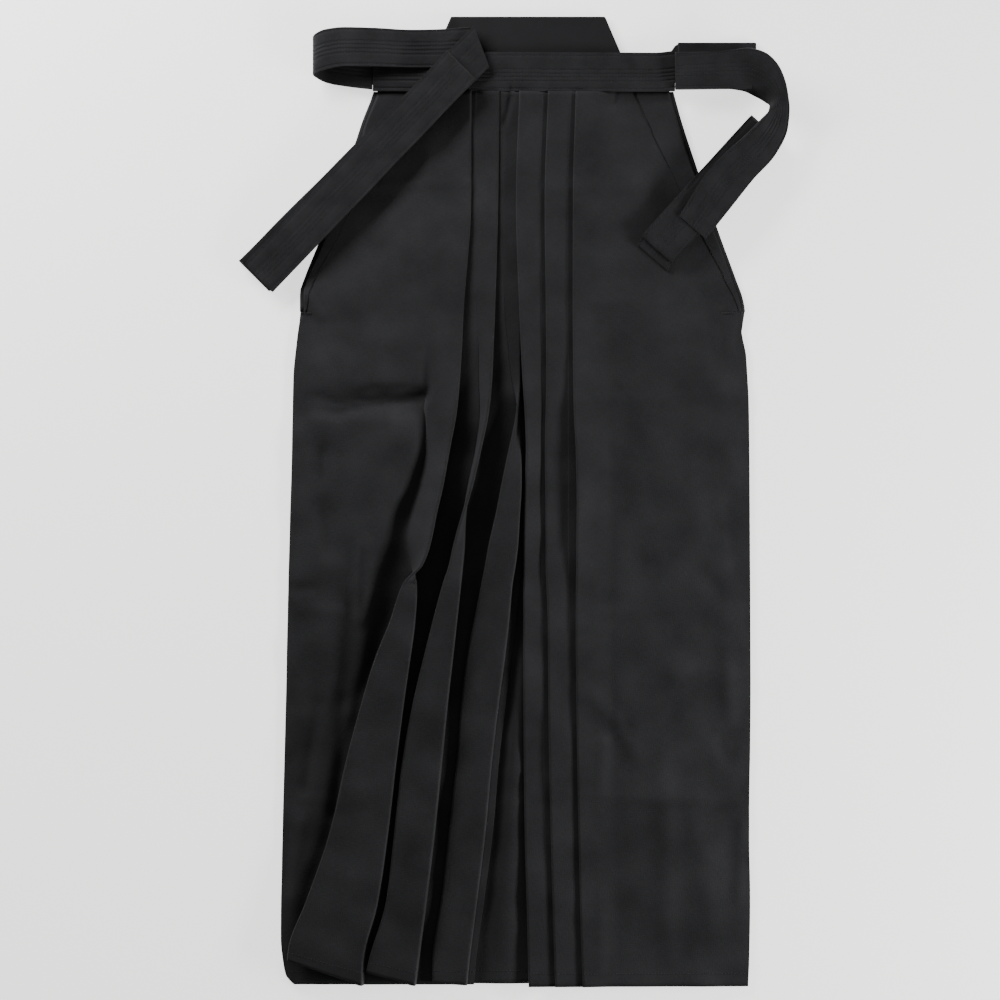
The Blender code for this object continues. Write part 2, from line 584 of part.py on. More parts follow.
def main():
    clear_scene()
    cloth_matt = matt("black_cotton", CLOTH_COLOR, 0.85)
    tie_matt = matt("black_cotton_tie", TIE_COLOR, 0.8)
    board_matt = matt("black_board_cover", BOARD_COLOR, 0.6)
    back_panel("back_right_panel", RIGHT_SIDE_OUTLINE, BACK_TOP_RIGHT, CENTRE_BACK - SEAM / 2, cloth_matt)
    back_panel("back_left_panel", LEFT_SIDE_OUTLINE, BACK_TOP_LEFT, CENTRE_BACK + SEAM / 2, cloth_matt)
    slit_facing("side_slit_facing_right", RIGHT_SIDE_OUTLINE, 1, cloth_matt)
    slit_facing("side_slit_facing_left", LEFT_SIDE_OUTLINE, -1, cloth_matt)
    gusset(cloth_matt)
    front_right(cloth_matt)
    front_left(cloth_matt)
    back_board(board_matt)
    waistband(tie_matt)
    ribbon("front_tie_right_loop", RIGHT_TIE_LOOP, 3, tie_matt)
    bundle("front_tie_right_bundle", RIGHT_TIE_BUNDLE, RIGHT_BUNDLE_REST, 3, tie_matt)
    bundle("front_tie_left_start", LEFT_TIE_START, LEFT_START_REST, 3, tie_matt)
    ribbon("front_tie_left_turn", LEFT_TIE_TURN, 4, tie_matt)
    bundle("front_tie_left_bundle", LEFT_TIE_BUNDLE, LEFT_BUNDLE_REST, 3, tie_matt)
    back_tie("back_tie_left", LEFT_BACK_TIE, tie_matt)
    back_tie("back_tie_right", RIGHT_BACK_TIE, tie_matt)


main()
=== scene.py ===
import math

import bmesh
import bpy
import numpy as np
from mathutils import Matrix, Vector, noise


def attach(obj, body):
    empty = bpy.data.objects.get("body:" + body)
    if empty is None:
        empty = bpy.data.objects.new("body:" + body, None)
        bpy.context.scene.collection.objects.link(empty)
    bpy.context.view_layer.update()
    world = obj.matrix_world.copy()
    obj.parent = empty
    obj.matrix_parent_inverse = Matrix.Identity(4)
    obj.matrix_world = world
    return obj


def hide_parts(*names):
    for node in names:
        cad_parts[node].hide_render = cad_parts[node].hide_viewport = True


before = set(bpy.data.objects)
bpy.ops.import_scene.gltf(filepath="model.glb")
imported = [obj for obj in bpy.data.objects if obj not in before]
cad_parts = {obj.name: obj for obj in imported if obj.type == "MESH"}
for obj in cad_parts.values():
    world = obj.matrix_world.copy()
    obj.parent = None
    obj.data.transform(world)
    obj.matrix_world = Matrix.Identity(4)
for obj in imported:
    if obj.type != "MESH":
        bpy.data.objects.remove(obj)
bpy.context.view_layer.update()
print("frame loaded")

# Tables below are in millimetres, read across and down from one corner of the cloth, heights from the floor
mm = 0.001
middle = {"across": 513.6, "down": 501.5}
cloth = {
    "wall": 1.0, "waistDown": 91.8, "slitEndDown": 313.0, "hemDown": 984.0, "hemTurn": 13.0,
    "backLevel": 0.55, "innerLevel": 2.05, "frontLevel": 3.6,
    "pleatThickness": 2.2, "layerPitch": 1.6, "foldRound": 1.1,
    "fallenReach": 20.0, "fallenRootDrop": 1.9, "kneeSetback": 0.03, "creaseAboveKnee": -2.5,
    "pressedKnee": 0.3, "leastRise": 0.2, "leastLap": 0.12, "firstPleatLead": 9.0,
    "crownRound": 30.0, "troughRound": 12.0, "slitLap": 4.0, "slitEase": 12.0,
}


def toWorld(points):
    points = np.asarray(points, float)
    out = np.empty_like(points)
    out[..., 0] = (points[..., 0] - middle["across"]) * mm
    out[..., 1] = (middle["down"] - points[..., 1]) * mm
    out[..., 2] = points[..., 2] * mm
    return out


# A curve through the knots that never swings past a value
def smoothBetween(knots, values, at):
    knots = np.asarray(knots, float)
    values = np.asarray(values, float)
    at = np.clip(np.asarray(at, float), knots[0], knots[-1])
    steps = np.diff(knots)
    slopes = np.diff(values) / steps
    leans = np.zeros(len(knots))
    for i in range(1, len(knots) - 1):
        if slopes[i - 1] * slopes[i] > 0:
            leans[i] = 2 * slopes[i - 1] * slopes[i] / (slopes[i - 1] + slopes[i])
    leans[0] = slopes[0]
    leans[-1] = slopes[-1]
    piece = np.clip(np.searchsorted(knots, at, side="right") - 1, 0, len(steps) - 1)
    t = (at - knots[piece]) / steps[piece]
    begin = (1 + 2 * t) * (1 - t) ** 2 * values[piece] + t * (1 - t) ** 2 * steps[piece] * leans[piece]
    end = t ** 2 * (3 - 2 * t) * values[piece + 1] + t ** 2 * (t - 1) * steps[piece] * leans[piece + 1]
    return begin + end


def rowAt(columns, rows, down):
    downs = [row[0] for row in rows]
    return {name: float(smoothBetween(downs, [row[i] for row in rows], down)) for i, name in enumerate(columns)}


def smoothStep(low, high, value):
    t = np.clip((np.asarray(value, float) - low) / (high - low), 0, 1)
    return t * t * (3 - 2 * t)


# The soft creases of the laid garment: a ridge (+) or a trough (-) between two points, with its half width
creaseColumns = ("across", "down", "toAcross", "toDown", "width", "height")
softCreases = [
    # folds left from packing, across both legs
    (360, 186, 470, 184, 5, 0.5), (540, 190, 650, 186, 5, 0.4), (590, 304, 640, 300, 5, 0.6),
    (300, 608, 345, 612, 6, 0.5), (590, 612, 740, 607, 6, 0.5), (600, 400, 745, 396, 6, 0.7),
    (590, 796, 742, 801, 6, 0.6), (300, 797, 340, 802, 6, 0.4),
    # the wearer's right side panel
    (296, 409, 318, 404, 6, -2.0), (318, 404, 338, 411, 7, -2.8), (338, 411, 380, 397, 7, -3.6),
    (378, 398, 424, 396, 7, -3.0), (322, 450, 326, 478, 9, -1.4), (321, 506, 332, 552, 10, -1.3),
    (353, 602, 348, 700, 12, -1.9), (344, 700, 335, 815, 7, -1.7),
    (322, 600, 330, 690, 12, 0.9), (300, 430, 296, 520, 9, 1.0),
    (292, 590, 314, 588, 6, -1.0), (366, 540, 360, 622, 7, 1.4), (344, 430, 352, 500, 14, 1.2),
    (305, 640, 300, 720, 9, 0.8), (318, 700, 305, 790, 7, -1.0), (300, 820, 292, 900, 8, 0.8),
    (340, 330, 400, 345, 12, 0.9), (320, 360, 332, 395, 8, 0.8), (398, 240, 380, 330, 14, 0.6),
    (306, 292, 322, 318, 3.0, 1.1), (303, 300, 312, 322, 2.6, -0.9), (430, 150, 424, 300, 9, 0.5),
    # the wearer's left side panel
    (588, 692, 620, 724, 10, 1.4), (618, 722, 637, 756, 10, 1.2), (611, 735, 627, 720, 8, -0.8),
    (511, 96, 504, 124, 3.5, -0.9), (615, 94, 615, 104, 3, -0.8), (606, 106, 640, 104, 9, -1.4),
    (645, 104, 672, 100, 8, -1.3), (626, 118, 652, 114, 6, -0.8),
    (623, 724, 631, 734, 6, -0.8), (669, 676, 728, 672, 9, 0.9), (725, 740, 727, 757, 9, -1.6),
    (604, 740, 600, 790, 7, 0.8), (602, 890, 600, 972, 8, 0.6), (662, 750, 668, 958, 12, 0.8),
    (700, 290, 716, 356, 11, -1.4), (732, 498, 738, 568, 10, -1.6), (700, 570, 722, 598, 10, -1.2),
    (640, 420, 700, 520, 16, 0.8), (690, 800, 712, 930, 14, 0.7), (640, 180, 672, 280, 16, 0.8),
    (724, 640, 730, 720, 8, 0.8), (612, 450, 640, 560, 12, -0.7), (735, 300, 728, 350, 6, 0.9),
    (650, 540, 690, 640, 15, 0.6), (708, 420, 735, 470, 12, 0.7), (742, 820, 738, 900, 6, 0.8),
]
# How strongly they show, and how far each runs out past its ends, as shares of its half width
creaseShape = {"strength": 1.7, "runsOut": 1.6, "fullFrom": 0.8}


def creaseLift(across, down):
    lift = np.zeros_like(across)
    for row in softCreases:
        crease = dict(zip(creaseColumns, row))
        width = crease["width"]
        right = across - crease["across"]
        below = down - crease["down"]
        run = np.array([crease["toAcross"] - crease["across"], crease["toDown"] - crease["down"]], float)
        length = np.linalg.norm(run)
        along = (right * run[0] + below * run[1]) / length
        aside = (right * run[1] - below * run[0]) / length
        low = -creaseShape["runsOut"] * width
        high = creaseShape["fullFrom"] * width
        ends = smoothStep(low, high, along) * smoothStep(low, high, length - along)
        lift += creaseShape["strength"] * crease["height"] * np.exp(-(aside / width) ** 2) * ends
    return lift


# Small unevenness of washed cotton that lies free: its height, the width of a wave, and its length to width
slack = {
    "height": 1.9, "size": 50, "stretch": 0.7,
    "fallenHeight": 0.9, "fallenSize": 24, "fallenStretch": 2.4, "fallenFrom": 380, "fallenTo": 560,
}


def slackLift(across, down, size, stretch, seed):
    flat = np.stack([across.ravel() / size, down.ravel() / (size * stretch), np.full(across.size, seed)], axis=1)
    values = np.array([noise.noise(Vector(p)) for p in flat])
    return values.reshape(across.shape)


def addNode(tree, kind, settings=(), links=()):
    node = tree.nodes.new(kind)
    for name, value in dict(settings).items():
        if isinstance(name, str) and hasattr(node, name):
            setattr(node, name, value)
        else:
            node.inputs[name].default_value = value
    for socket, source in dict(links).items():
        tree.links.new(source, node.inputs[socket])
    return node


def hexToLinear(text):
    values = [int(text[i:i + 2], 16) / 255 for i in (1, 3, 5)]
    linear = [v / 12.92 if v <= 0.04045 else ((v + 0.055) / 1.055) ** 2.4 for v in values]
    return (*linear, 1.0)


# Woven cotton, dyed black in the yarn: two crossing sets of threads, a dye that is a little uneven, and a low soft
# nap that catches side light
def cottonMaterial(name, look):
    material = bpy.data.materials.new(name)
    material.use_nodes = True
    tree = material.node_tree
    shader = tree.nodes["Principled BSDF"]
    shader.inputs["Roughness"].default_value = look["roughness"]
    shader.inputs["Sheen Weight"].default_value = look["sheen"]
    shader.inputs["Sheen Roughness"].default_value = look["sheenRoughness"]
    shader.inputs["Sheen Tint"].default_value = hexToLinear(look["sheenColor"])
    shader.inputs["Specular IOR Level"].default_value = look["specular"]
    uv = addNode(tree, "ShaderNodeUVMap", {"uv_map": "cloth"})
    where = addNode(tree, "ShaderNodeTexCoord")
    thick = 1 / (look["threadMm"] * mm)
    long = thick / look["threadLength"]
    warpPlace = addNode(tree, "ShaderNodeMapping", {"Scale": (thick, long, 1)}, {"Vector": uv.outputs["UV"]})
    weftPlace = addNode(tree, "ShaderNodeMapping", {"Scale": (long, thick, 1)}, {"Vector": uv.outputs["UV"]})
    warp = addNode(tree, "ShaderNodeTexNoise", {"Scale": 1.0, "Detail": 2.0}, {"Vector": warpPlace.outputs[0]})
    weft = addNode(tree, "ShaderNodeTexNoise", {"Scale": 1.0, "Detail": 2.0}, {"Vector": weftPlace.outputs[0]})
    weave = addNode(tree, "ShaderNodeMath", {"operation": "ADD"}, {0: warp.outputs["Fac"], 1: weft.outputs["Fac"]})
    dye = addNode(tree, "ShaderNodeTexNoise", {"Scale": 1 / (look["dyeMm"] * mm), "Detail": 3.0},
                  {"Vector": where.outputs["Object"]})
    tone = addNode(tree, "ShaderNodeMath", {"operation": "MULTIPLY", 1: look["weaveShare"]},
                   {0: weave.outputs[0]})
    mixed = addNode(tree, "ShaderNodeMath", {"operation": "MULTIPLY_ADD", 1: look["dyeShare"]},
                    {0: dye.outputs["Fac"], 2: tone.outputs[0]})
    ramp = addNode(tree, "ShaderNodeValToRGB", {}, {"Fac": mixed.outputs[0]})
    for element, end in zip(ramp.color_ramp.elements, ("dark", "light")):
        element.position = look[end + "At"]
        element.color = hexToLinear(look[end + "Color"])
    tree.links.new(ramp.outputs["Color"], shader.inputs["Base Color"])
    bump = addNode(tree, "ShaderNodeBump", {"Strength": look["bump"], "Distance": look["bumpMm"] * mm},
                   {"Height": weave.outputs[0]})
    tree.links.new(bump.outputs["Normal"], shader.inputs["Normal"])
    return material


# Drill, washed soft: broad, matt and faintly blotchy. Its threads are 0.4 mm thick, here drawn coarser so that
# they show.
cottonLook = {
    "darkColor": "#19191b", "lightColor": "#2f2f31", "darkAt": 0.30, "lightAt": 0.78,
    "sheenColor": "#8a8a8e", "sheen": 0.12, "sheenRoughness": 0.55, "roughness": 0.86, "specular": 0.22,
    "threadMm": 0.9, "threadLength": 5, "weaveShare": 0.22, "dyeMm": 45, "dyeShare": 0.6,
    "bump": 0.5, "bumpMm": 0.4,
}
# The same drill folded to a strip and pressed: denser, darker, with smaller blotches
tieLook = dict(cottonLook, darkColor="#141416", lightColor="#2a2a2c", threadMm=0.8, dyeMm=22)
# A finer cloth drawn tight over stiff card: even, dark and a little smoother than the rest
boardLook = dict(cottonLook, darkColor="#131315", lightColor="#1e1e20", roughness=0.7, threadMm=0.7, bump=0.25)
# Twisted polyester: a shade lighter than the cloth it holds
threadLook = dict(cottonLook, darkColor="#232325", lightColor="#343437", threadMm=0.5, bump=0.2)
# The same thread with shade painted into its colour: near black and without sheen, so that the slit's stitch line
# reads as a dark shadow line
paintedShadeThreadLook = dict(threadLook, darkColor="#060607", lightColor="#0c0c0d", sheen=0.0)
cotton = cottonMaterial("cottonDrillBlack", cottonLook)
tieCotton = cottonMaterial("cottonTieBlack", tieLook)
boardCotton = cottonMaterial("smoothBoardClothBlack", boardLook)
sewingThread = cottonMaterial("polyesterThreadBlack", threadLook)
# Painted shade: the near-black slit thread
paintedShadeThread = cottonMaterial("polyesterThreadPaintedShade", paintedShadeThreadLook)
print("materials ready")


# A grid of quads laid onto rows of points, with the cloth's own measure as its UV map, then given its wall
def makeSheet(name, points, wall, material, soften=0.0):
    rows, columns = points.shape[:2]
    world = toWorld(points)
    bm = bmesh.new()
    bmesh.ops.create_grid(bm, x_segments=columns - 1, y_segments=rows - 1, size=1.0)
    bm.verts.ensure_lookup_table()
    for vert, place in zip(bm.verts, world.reshape(-1, 3)):
        vert.co = place
    acrossSteps = np.linalg.norm(np.diff(world, axis=1), axis=2)
    alongSteps = np.linalg.norm(np.diff(world, axis=0), axis=2)
    u = np.concatenate([np.zeros((rows, 1)), np.cumsum(acrossSteps, axis=1)], axis=1)
    v = np.concatenate([[0.0], np.cumsum(alongSteps.mean(axis=1))])[:, None] + np.zeros((1, columns))
    flatU = u.ravel()
    flatV = v.ravel()
    layer = bm.loops.layers.uv.new("cloth")
    for face in bm.faces:
        face.smooth = True
        for loop in face.loops:
            loop[layer].uv = (flatU[loop.vert.index], flatV[loop.vert.index])
    bm.normal_update()
    if sum(face.normal.z * face.calc_area() for face in bm.faces) < 0:
        bmesh.ops.reverse_faces(bm, faces=bm.faces)
    mesh = bpy.data.meshes.new(name)
    bm.to_mesh(mesh)
    bm.free()
    mesh.materials.append(material)
    piece = bpy.data.objects.new(name, mesh)
    bpy.context.scene.collection.objects.link(piece)
    solid = piece.modifiers.new("wall", "SOLIDIFY")
    solid.thickness = wall * mm
    solid.offset = 0.0
    if soften:
        edge = piece.modifiers.new("softEdge", "BEVEL")
        edge.width = soften * mm
        edge.segments = 2
        edge.limit_method = "ANGLE"
        edge.angle_limit = math.radians(50)
    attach(piece, "root")
    return piece


# The cut of a sheet before it was folded: its widest row, its longest column and its area, in metres
def cutOf(points):
    world = toWorld(points)
    widths = np.linalg.norm(np.diff(world, axis=1), axis=2).sum(axis=1)
    lengths = np.linalg.norm(np.diff(world, axis=0), axis=2).sum(axis=0)
    sides = np.cross(world[1:, 1:] - world[:-1, :-1], world[1:, :-1] - world[:-1, 1:])
    area = float(np.linalg.norm(sides, axis=2).sum() / 2)
    width = round(float(widths.max()), 3)
    length = round(float(lengths.max()), 3)
    return (width, length), round(min(area, 0.9995 * width * length), 6)


def declareSheet(piece, points):
    flat, area = cutOf(points)
    print("cut of", piece.name, flat, area)


def pointOn(points, i, j):
    rows, columns = points.shape[:2]
    i = min(max(i, 0), rows - 1.001)
    j = min(max(j, 0), columns - 1.001)
    i0, j0 = int(i), int(j)
    a, b = i - i0, j - j0
    return ((points[i0, j0] * (1 - a) + points[i0 + 1, j0] * a) * (1 - b)
            + (points[i0, j0 + 1] * (1 - a) + points[i0 + 1, j0 + 1] * a) * b)


# One bead, three times as long as it is thick, which every lock stitch repeats
def makeBead():
    bm = bmesh.new()
    bmesh.ops.create_icosphere(bm, subdivisions=1, radius=1.0)
    corners = np.array([vert.co[:] for vert in bm.verts])
    faces = np.array([[vert.index for vert in face.verts] for face in bm.faces])
    bm.free()
    return corners, faces


beadCorners, beadFaces = makeBead()
stitchShape = {"halfLength": 0.36, "flatness": 0.7}


# The places of lock stitches along a line of points: start, end and thickness of each
def stitchAlong(line, pitch, size):
    line = np.asarray(line, float)
    lengths = np.concatenate([[0], np.cumsum(np.linalg.norm(np.diff(line, axis=0), axis=1))])
    centres = (np.arange(int(lengths[-1] / pitch)) + 0.5) * pitch
    reach = pitch * stitchShape["halfLength"]
    starts = np.stack([np.interp(centres - reach, lengths, line[:, c]) for c in range(3)], axis=1)
    ends = np.stack([np.interp(centres + reach, lengths, line[:, c]) for c in range(3)], axis=1)
    return [(start, end, size) for start, end in zip(starts, ends)]


def makeStitches(name, stitches, material):
    corners = []
    faces = []
    for start, end, size in stitches:
        begin, stop = toWorld(start), toWorld(end)
        run = stop - begin
        half = np.linalg.norm(run) / 2
        along = run / (2 * half)
        aside = np.cross([0.0, 0.0, 1.0], along)
        aside /= max(np.linalg.norm(aside), 1e-9)
        up = np.cross(along, aside)
        bead = beadCorners * (half, size * mm, size * mm * stitchShape["flatness"])
        faces.append(beadFaces + len(corners) * len(beadCorners))
        corners.append((begin + stop) / 2 + bead @ np.array([along, aside, up]))
    mesh = bpy.data.meshes.new(name)
    mesh.from_pydata(np.concatenate(corners).tolist(), [], np.concatenate(faces).tolist())
    mesh.shade_smooth()
    mesh.uv_layers.new(name="cloth")
    mesh.materials.append(material)
    piece = bpy.data.objects.new(name, mesh)
    bpy.context.scene.collection.objects.link(piece)
    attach(piece, "root")


print("tools ready")

# The wearer's right leg: three pleats, pressed above and fallen open towards the side below
pleatColumns = ("down", "root1", "crease1", "stand1", "root2", "crease2", "stand2", "root3", "crease3", "stand3",
                "inner")
crownColumns = ("down", "crown", "crownHeight", "trough", "troughHeight")
rightLeg = {
    "side": 1,
    "outline": [
        (91.0, 374.0), (100.0, 371.0), (120.0, 363.0), (147.0, 354.0), (245.0, 318.0), (280.0, 304.0),
        (293.0, 300.0), (313.0, 300.0), (340.0, 297.0), (378.0, 293.4), (460.0, 292.0), (560.0, 289.0),
        (700.0, 286.0), (820.0, 283.0), (940.0, 281.0), (960.0, 283.0), (975.0, 286.0), (984.0, 294.0),
    ],
    "pleats": [
        (93.6, 447.0, 471.0, 8.0, 476.5, 499.0, 7.6, 503.0, 522.0, 6.4, 524.0),
        (200.0, 446.0, 470.8, 9.0, 475.0, 497.8, 8.6, 502.0, 521.0, 6.4, 524.0),
        (313.0, 439.0, 463.2, 10.4, 476.0, 494.6, 10.0, 505.0, 521.0, 6.4, 524.0),
        (345.0, 437.0, 461.8, 11.6, 479.0, 493.2, 11.6, 508.0, 520.5, 6.8, 524.2),
        (380.0, 435.0, 459.6, 13.6, 479.5, 491.6, 13.6, 512.0, 520.5, 7.5, 524.4),
        (410.0, 431.0, 456.8, 15.6, 481.0, 488.4, 16.0, 519.0, 517.5, 13.0, 528.0),
        (450.0, 430.0, 449.5, 17.6, 476.5, 480.2, 19.0, 521.0, 509.0, 15.0, 530.0),
        (486.0, 423.0, 443.0, 19.6, 469.0, 471.8, 21.6, 520.5, 501.5, 16.6, 530.0),
        (512.0, 415.0, 437.0, 21.6, 465.2, 464.0, 23.0, 519.0, 496.5, 17.4, 529.0),
        (545.0, 412.0, 430.0, 23.0, 464.0, 454.0, 23.0, 517.0, 489.0, 17.4, 525.0),
        (565.0, 413.0, 422.0, 24.5, 462.0, 449.5, 22.4, 514.5, 485.5, 16.6, 522.6),
        (583.0, 416.5, 404.0, 24.0, 460.0, 443.5, 21.6, 511.5, 482.0, 15.6, 520.0),
        (620.0, 414.5, 391.0, 24.0, 456.0, 433.5, 20.4, 508.0, 474.5, 13.4, 516.0),
        (660.0, 409.5, 375.0, 22.0, 451.5, 423.5, 19.6, 503.5, 466.5, 11.8, 511.0),
        (700.0, 404.0, 363.0, 20.4, 447.0, 414.0, 19.0, 498.0, 462.0, 10.8, 506.0),
        (760.0, 396.5, 347.0, 19.0, 441.0, 403.0, 18.0, 491.0, 457.0, 10.4, 499.0),
        (830.0, 388.5, 331.0, 18.0, 434.0, 395.0, 17.4, 484.5, 449.5, 10.2, 493.0),
        (900.0, 378.5, 308.0, 17.0, 425.5, 387.0, 17.0, 476.0, 441.5, 10.2, 484.0),
        (960.0, 364.0, 290.0, 16.4, 418.0, 371.5, 16.4, 468.5, 433.0, 10.6, 476.0),
        (984.0, 363.0, 288.0, 16.0, 415.0, 366.5, 16.0, 466.0, 433.0, 11.0, 474.0),
    ],
    "crown": [
        (93.6, 400.0, 5.0, 425.0, 6.2), (200.0, 390.0, 5.4, 425.0, 6.6), (313.0, 370.0, 6.5, 420.0, 6.8),
        (380.0, 372.0, 11.5, 422.0, 8.5), (402.0, 384.0, 4.6, 429.0, 4.4), (422.0, 402.0, 14.5, 429.0, 4.4),
        (450.0, 411.0, 16.0, 427.0, 4.2), (486.0, 397.0, 17.0, 418.0, 3.8), (512.0, 384.0, 17.5, 406.0, 3.8),
        (545.0, 374.0, 17.0, 400.0, 3.8), (583.0, 370.0, 16.5, 393.0, 3.8), (620.0, 367.0, 14.5, 382.0, 3.8),
        (660.0, 361.0, 12.0, 371.0, 3.8), (700.0, 350.0, 10.0, 360.0, 3.8), (760.0, 335.0, 8.6, 345.0, 3.9),
        (830.0, 319.0, 7.5, 329.0, 3.9), (900.0, 297.0, 6.0, 306.0, 3.7), (950.0, 289.0, 4.0, 300.0, 3.6),
        (984.0, 300.0, 3.6, 310.0, 3.6),
    ],
    "hemStartsDown": 860.0, "hemDrawnUp": (25.0, 13.0, 2.0),
    "rowStep": 4.0, "columns": (42, 7, 10, 10, 7, 9, 7, 10, 10, 7, 9, 7, 10, 10, 7, 5),
}
# The wearer's left leg: three pressed pleats that face the middle all the way down
leftLeg = {
    "side": -1,
    "outline": [
        (91.0, 673.0), (120.0, 681.0), (160.0, 694.0), (231.0, 718.0), (280.0, 736.0), (300.0, 743.0),
        (313.0, 745.0), (330.0, 741.5), (356.0, 746.0), (420.0, 749.0), (560.0, 750.0), (700.0, 750.5),
        (830.0, 749.0), (900.0, 750.0), (960.0, 749.0), (986.0, 748.0),
    ],
    "pleats": [
        (93.6, 600.0, 576.0, 8.0, 570.5, 548.4, 8.0, 542.0, 519.7, 10.4, 524.6),
        (200.0, 597.5, 573.2, 9.0, 567.5, 545.0, 8.6, 539.5, 516.4, 10.8, 524.6),
        (313.0, 597.0, 573.0, 9.0, 567.5, 546.2, 8.6, 541.0, 519.8, 12.6, 524.6),
        (380.0, 598.0, 573.5, 10.0, 568.0, 546.6, 8.6, 541.5, 523.0, 15.4, 525.4),
        (410.0, 599.0, 574.0, 12.0, 568.0, 546.0, 8.6, 542.0, 525.0, 15.6, 530.0),
        (450.0, 601.0, 576.0, 14.0, 568.0, 545.2, 8.6, 541.5, 526.4, 14.6, 532.0),
        (500.0, 602.0, 577.0, 14.0, 568.0, 545.8, 9.0, 541.0, 524.6, 13.6, 532.0),
        (560.0, 602.0, 576.5, 12.0, 568.0, 546.0, 9.0, 541.0, 523.6, 11.4, 532.0),
        (620.0, 601.0, 576.0, 9.5, 569.0, 548.0, 9.0, 542.0, 523.6, 9.2, 532.0),
        (730.0, 602.0, 577.0, 9.0, 571.0, 549.0, 9.0, 543.0, 524.0, 8.2, 532.0),
        (830.0, 604.0, 578.8, 9.0, 572.5, 551.0, 9.0, 545.0, 525.0, 8.2, 533.0),
        (906.0, 606.0, 580.4, 9.0, 574.0, 553.0, 9.0, 547.0, 527.2, 8.2, 535.0),
        (986.0, 609.0, 583.0, 9.0, 577.0, 555.5, 9.0, 549.5, 529.0, 8.2, 537.0),
    ],
    "crown": [
        (93.6, 655.0, 4.6, 625.0, 6.2), (200.0, 665.0, 5.2, 628.0, 6.4), (313.0, 690.0, 6.0, 630.0, 6.6),
        (400.0, 690.0, 6.0, 632.0, 6.6), (450.0, 690.0, 8.0, 632.0, 7.0), (600.0, 690.0, 6.5, 634.0, 6.8),
        (700.0, 695.0, 6.0, 620.0, 9.0), (740.0, 692.0, 6.5, 634.0, 7.6), (830.0, 690.0, 6.5, 636.0, 6.8),
        (986.0, 690.0, 6.0, 640.0, 6.6),
    ],
    "hemStartsDown": 860.0, "hemDrawnUp": (0.0, 0.0, 0.0),
    "rowStep": 4.0, "columns": (46, 6, 7, 7, 6, 7, 6, 7, 7, 6, 7, 6, 7, 7, 6, 5),
}


# A pressed fold needs few points round its corner, a soft crown many
roundness = {"softFrom": 3, "pressedSteps": 6, "softSteps": 24, "share": 0.48}


def roundCorners(corners, radii):
    corners = np.asarray(corners, float)
    line = [corners[0]]
    for before, corner, after, radius in zip(corners, corners[1:], corners[2:], radii):
        back = before - corner
        ahead = after - corner
        backLength = np.linalg.norm(back)
        aheadLength = np.linalg.norm(ahead)
        room = min(radius, roundness["share"] * backLength, roundness["share"] * aheadLength)
        start = corner + back / max(backLength, 1e-9) * room
        end = corner + ahead / max(aheadLength, 1e-9) * room
        steps = roundness["pressedSteps"] if radius < roundness["softFrom"] else roundness["softSteps"]
        for t in np.linspace(0, 1, steps):
            line.append((1 - t) ** 2 * start + 2 * t * (1 - t) * corner + t ** 2 * end)
    line.append(corners[-1])
    return np.array(line)


# Points at each stop, close together near it and even in between, so that a fold stays round
closePoints = {"away": (0.55, 1.3, 2.6), "share": 1 / 12}


def spreadPoints(line, stops, counts):
    lengths = np.concatenate([[0], np.cumsum(np.linalg.norm(np.diff(line, axis=0), axis=1))])
    marks = [lengths[int(np.argmin(np.linalg.norm(line - stop, axis=1)))] for stop in stops]
    marks = np.concatenate([[0], np.maximum.accumulate(marks), [lengths[-1]]])
    at = [0.0]
    for start, end, count in zip(marks, marks[1:], counts):
        near = min(1.0, (end - start) * closePoints["share"])
        close = [away * near for away in closePoints["away"]]
        even = np.linspace(start + close[-1], end - close[-1], count - 4)
        at += [start + close[0], start + close[1], *even, end - close[1], end - close[0], end]
    return np.stack([np.interp(at, lengths, line[:, k]) for k in range(3)], axis=1)


# One pleat in section: up its near face, round its crease and down its far face. One that has fallen over
# stands up from its root to a knee, then lies back to its crease. A lead lets the cloth run in under it.
def pleatCorners(root, crease, stand, lead):
    reach = crease - root
    fallen = float(smoothStep(0.0, cloth["fallenReach"], -reach))
    half = cloth["pleatThickness"] / 2
    lying = cloth["frontLevel"] + cloth["layerPitch"] + half
    base = np.array([root, lying - cloth["fallenRootDrop"] * fallen])
    tip = np.array([crease, max(stand + cloth["creaseAboveKnee"] * fallen, lying + cloth["leastRise"])])
    straight = base + cloth["pressedKnee"] * (tip - base)
    raised = np.array([root + cloth["kneeSetback"] * reach, stand])
    knee = straight + (raised - straight) * fallen
    lean = (knee - base) / np.linalg.norm(knee - base)
    side = np.array([-lean[1], lean[0]])
    tipLean = (tip - knee) / np.linalg.norm(tip - knee)
    tipSide = np.array([-tipLean[1], tipLean[0]])
    kneeSide = (side + tipSide) / (1 + float(np.dot(side, tipSide)))
    forward = (1 + lean[0]) / 2
    before = half + cloth["layerPitch"] * max(1 - forward, cloth["leastLap"])
    after = half + cloth["layerPitch"] * max(forward, cloth["leastLap"])
    corners = [base + side * before - lean * lead * forward ** 4, base + side * half,
               knee + kneeSide * half, tip + tipSide * half, tip - tipSide * half,
               knee - kneeSide * half, base - side * half, base - side * after]
    entry = corners[1] if lead else (corners[0] + corners[1]) / 2
    return corners, [entry, corners[2], tip, corners[5], (corners[6] + corners[7]) / 2]


def outlineAt(leg, down):
    return float(smoothBetween([r[0] for r in leg["outline"]], [r[1] for r in leg["outline"]], down))


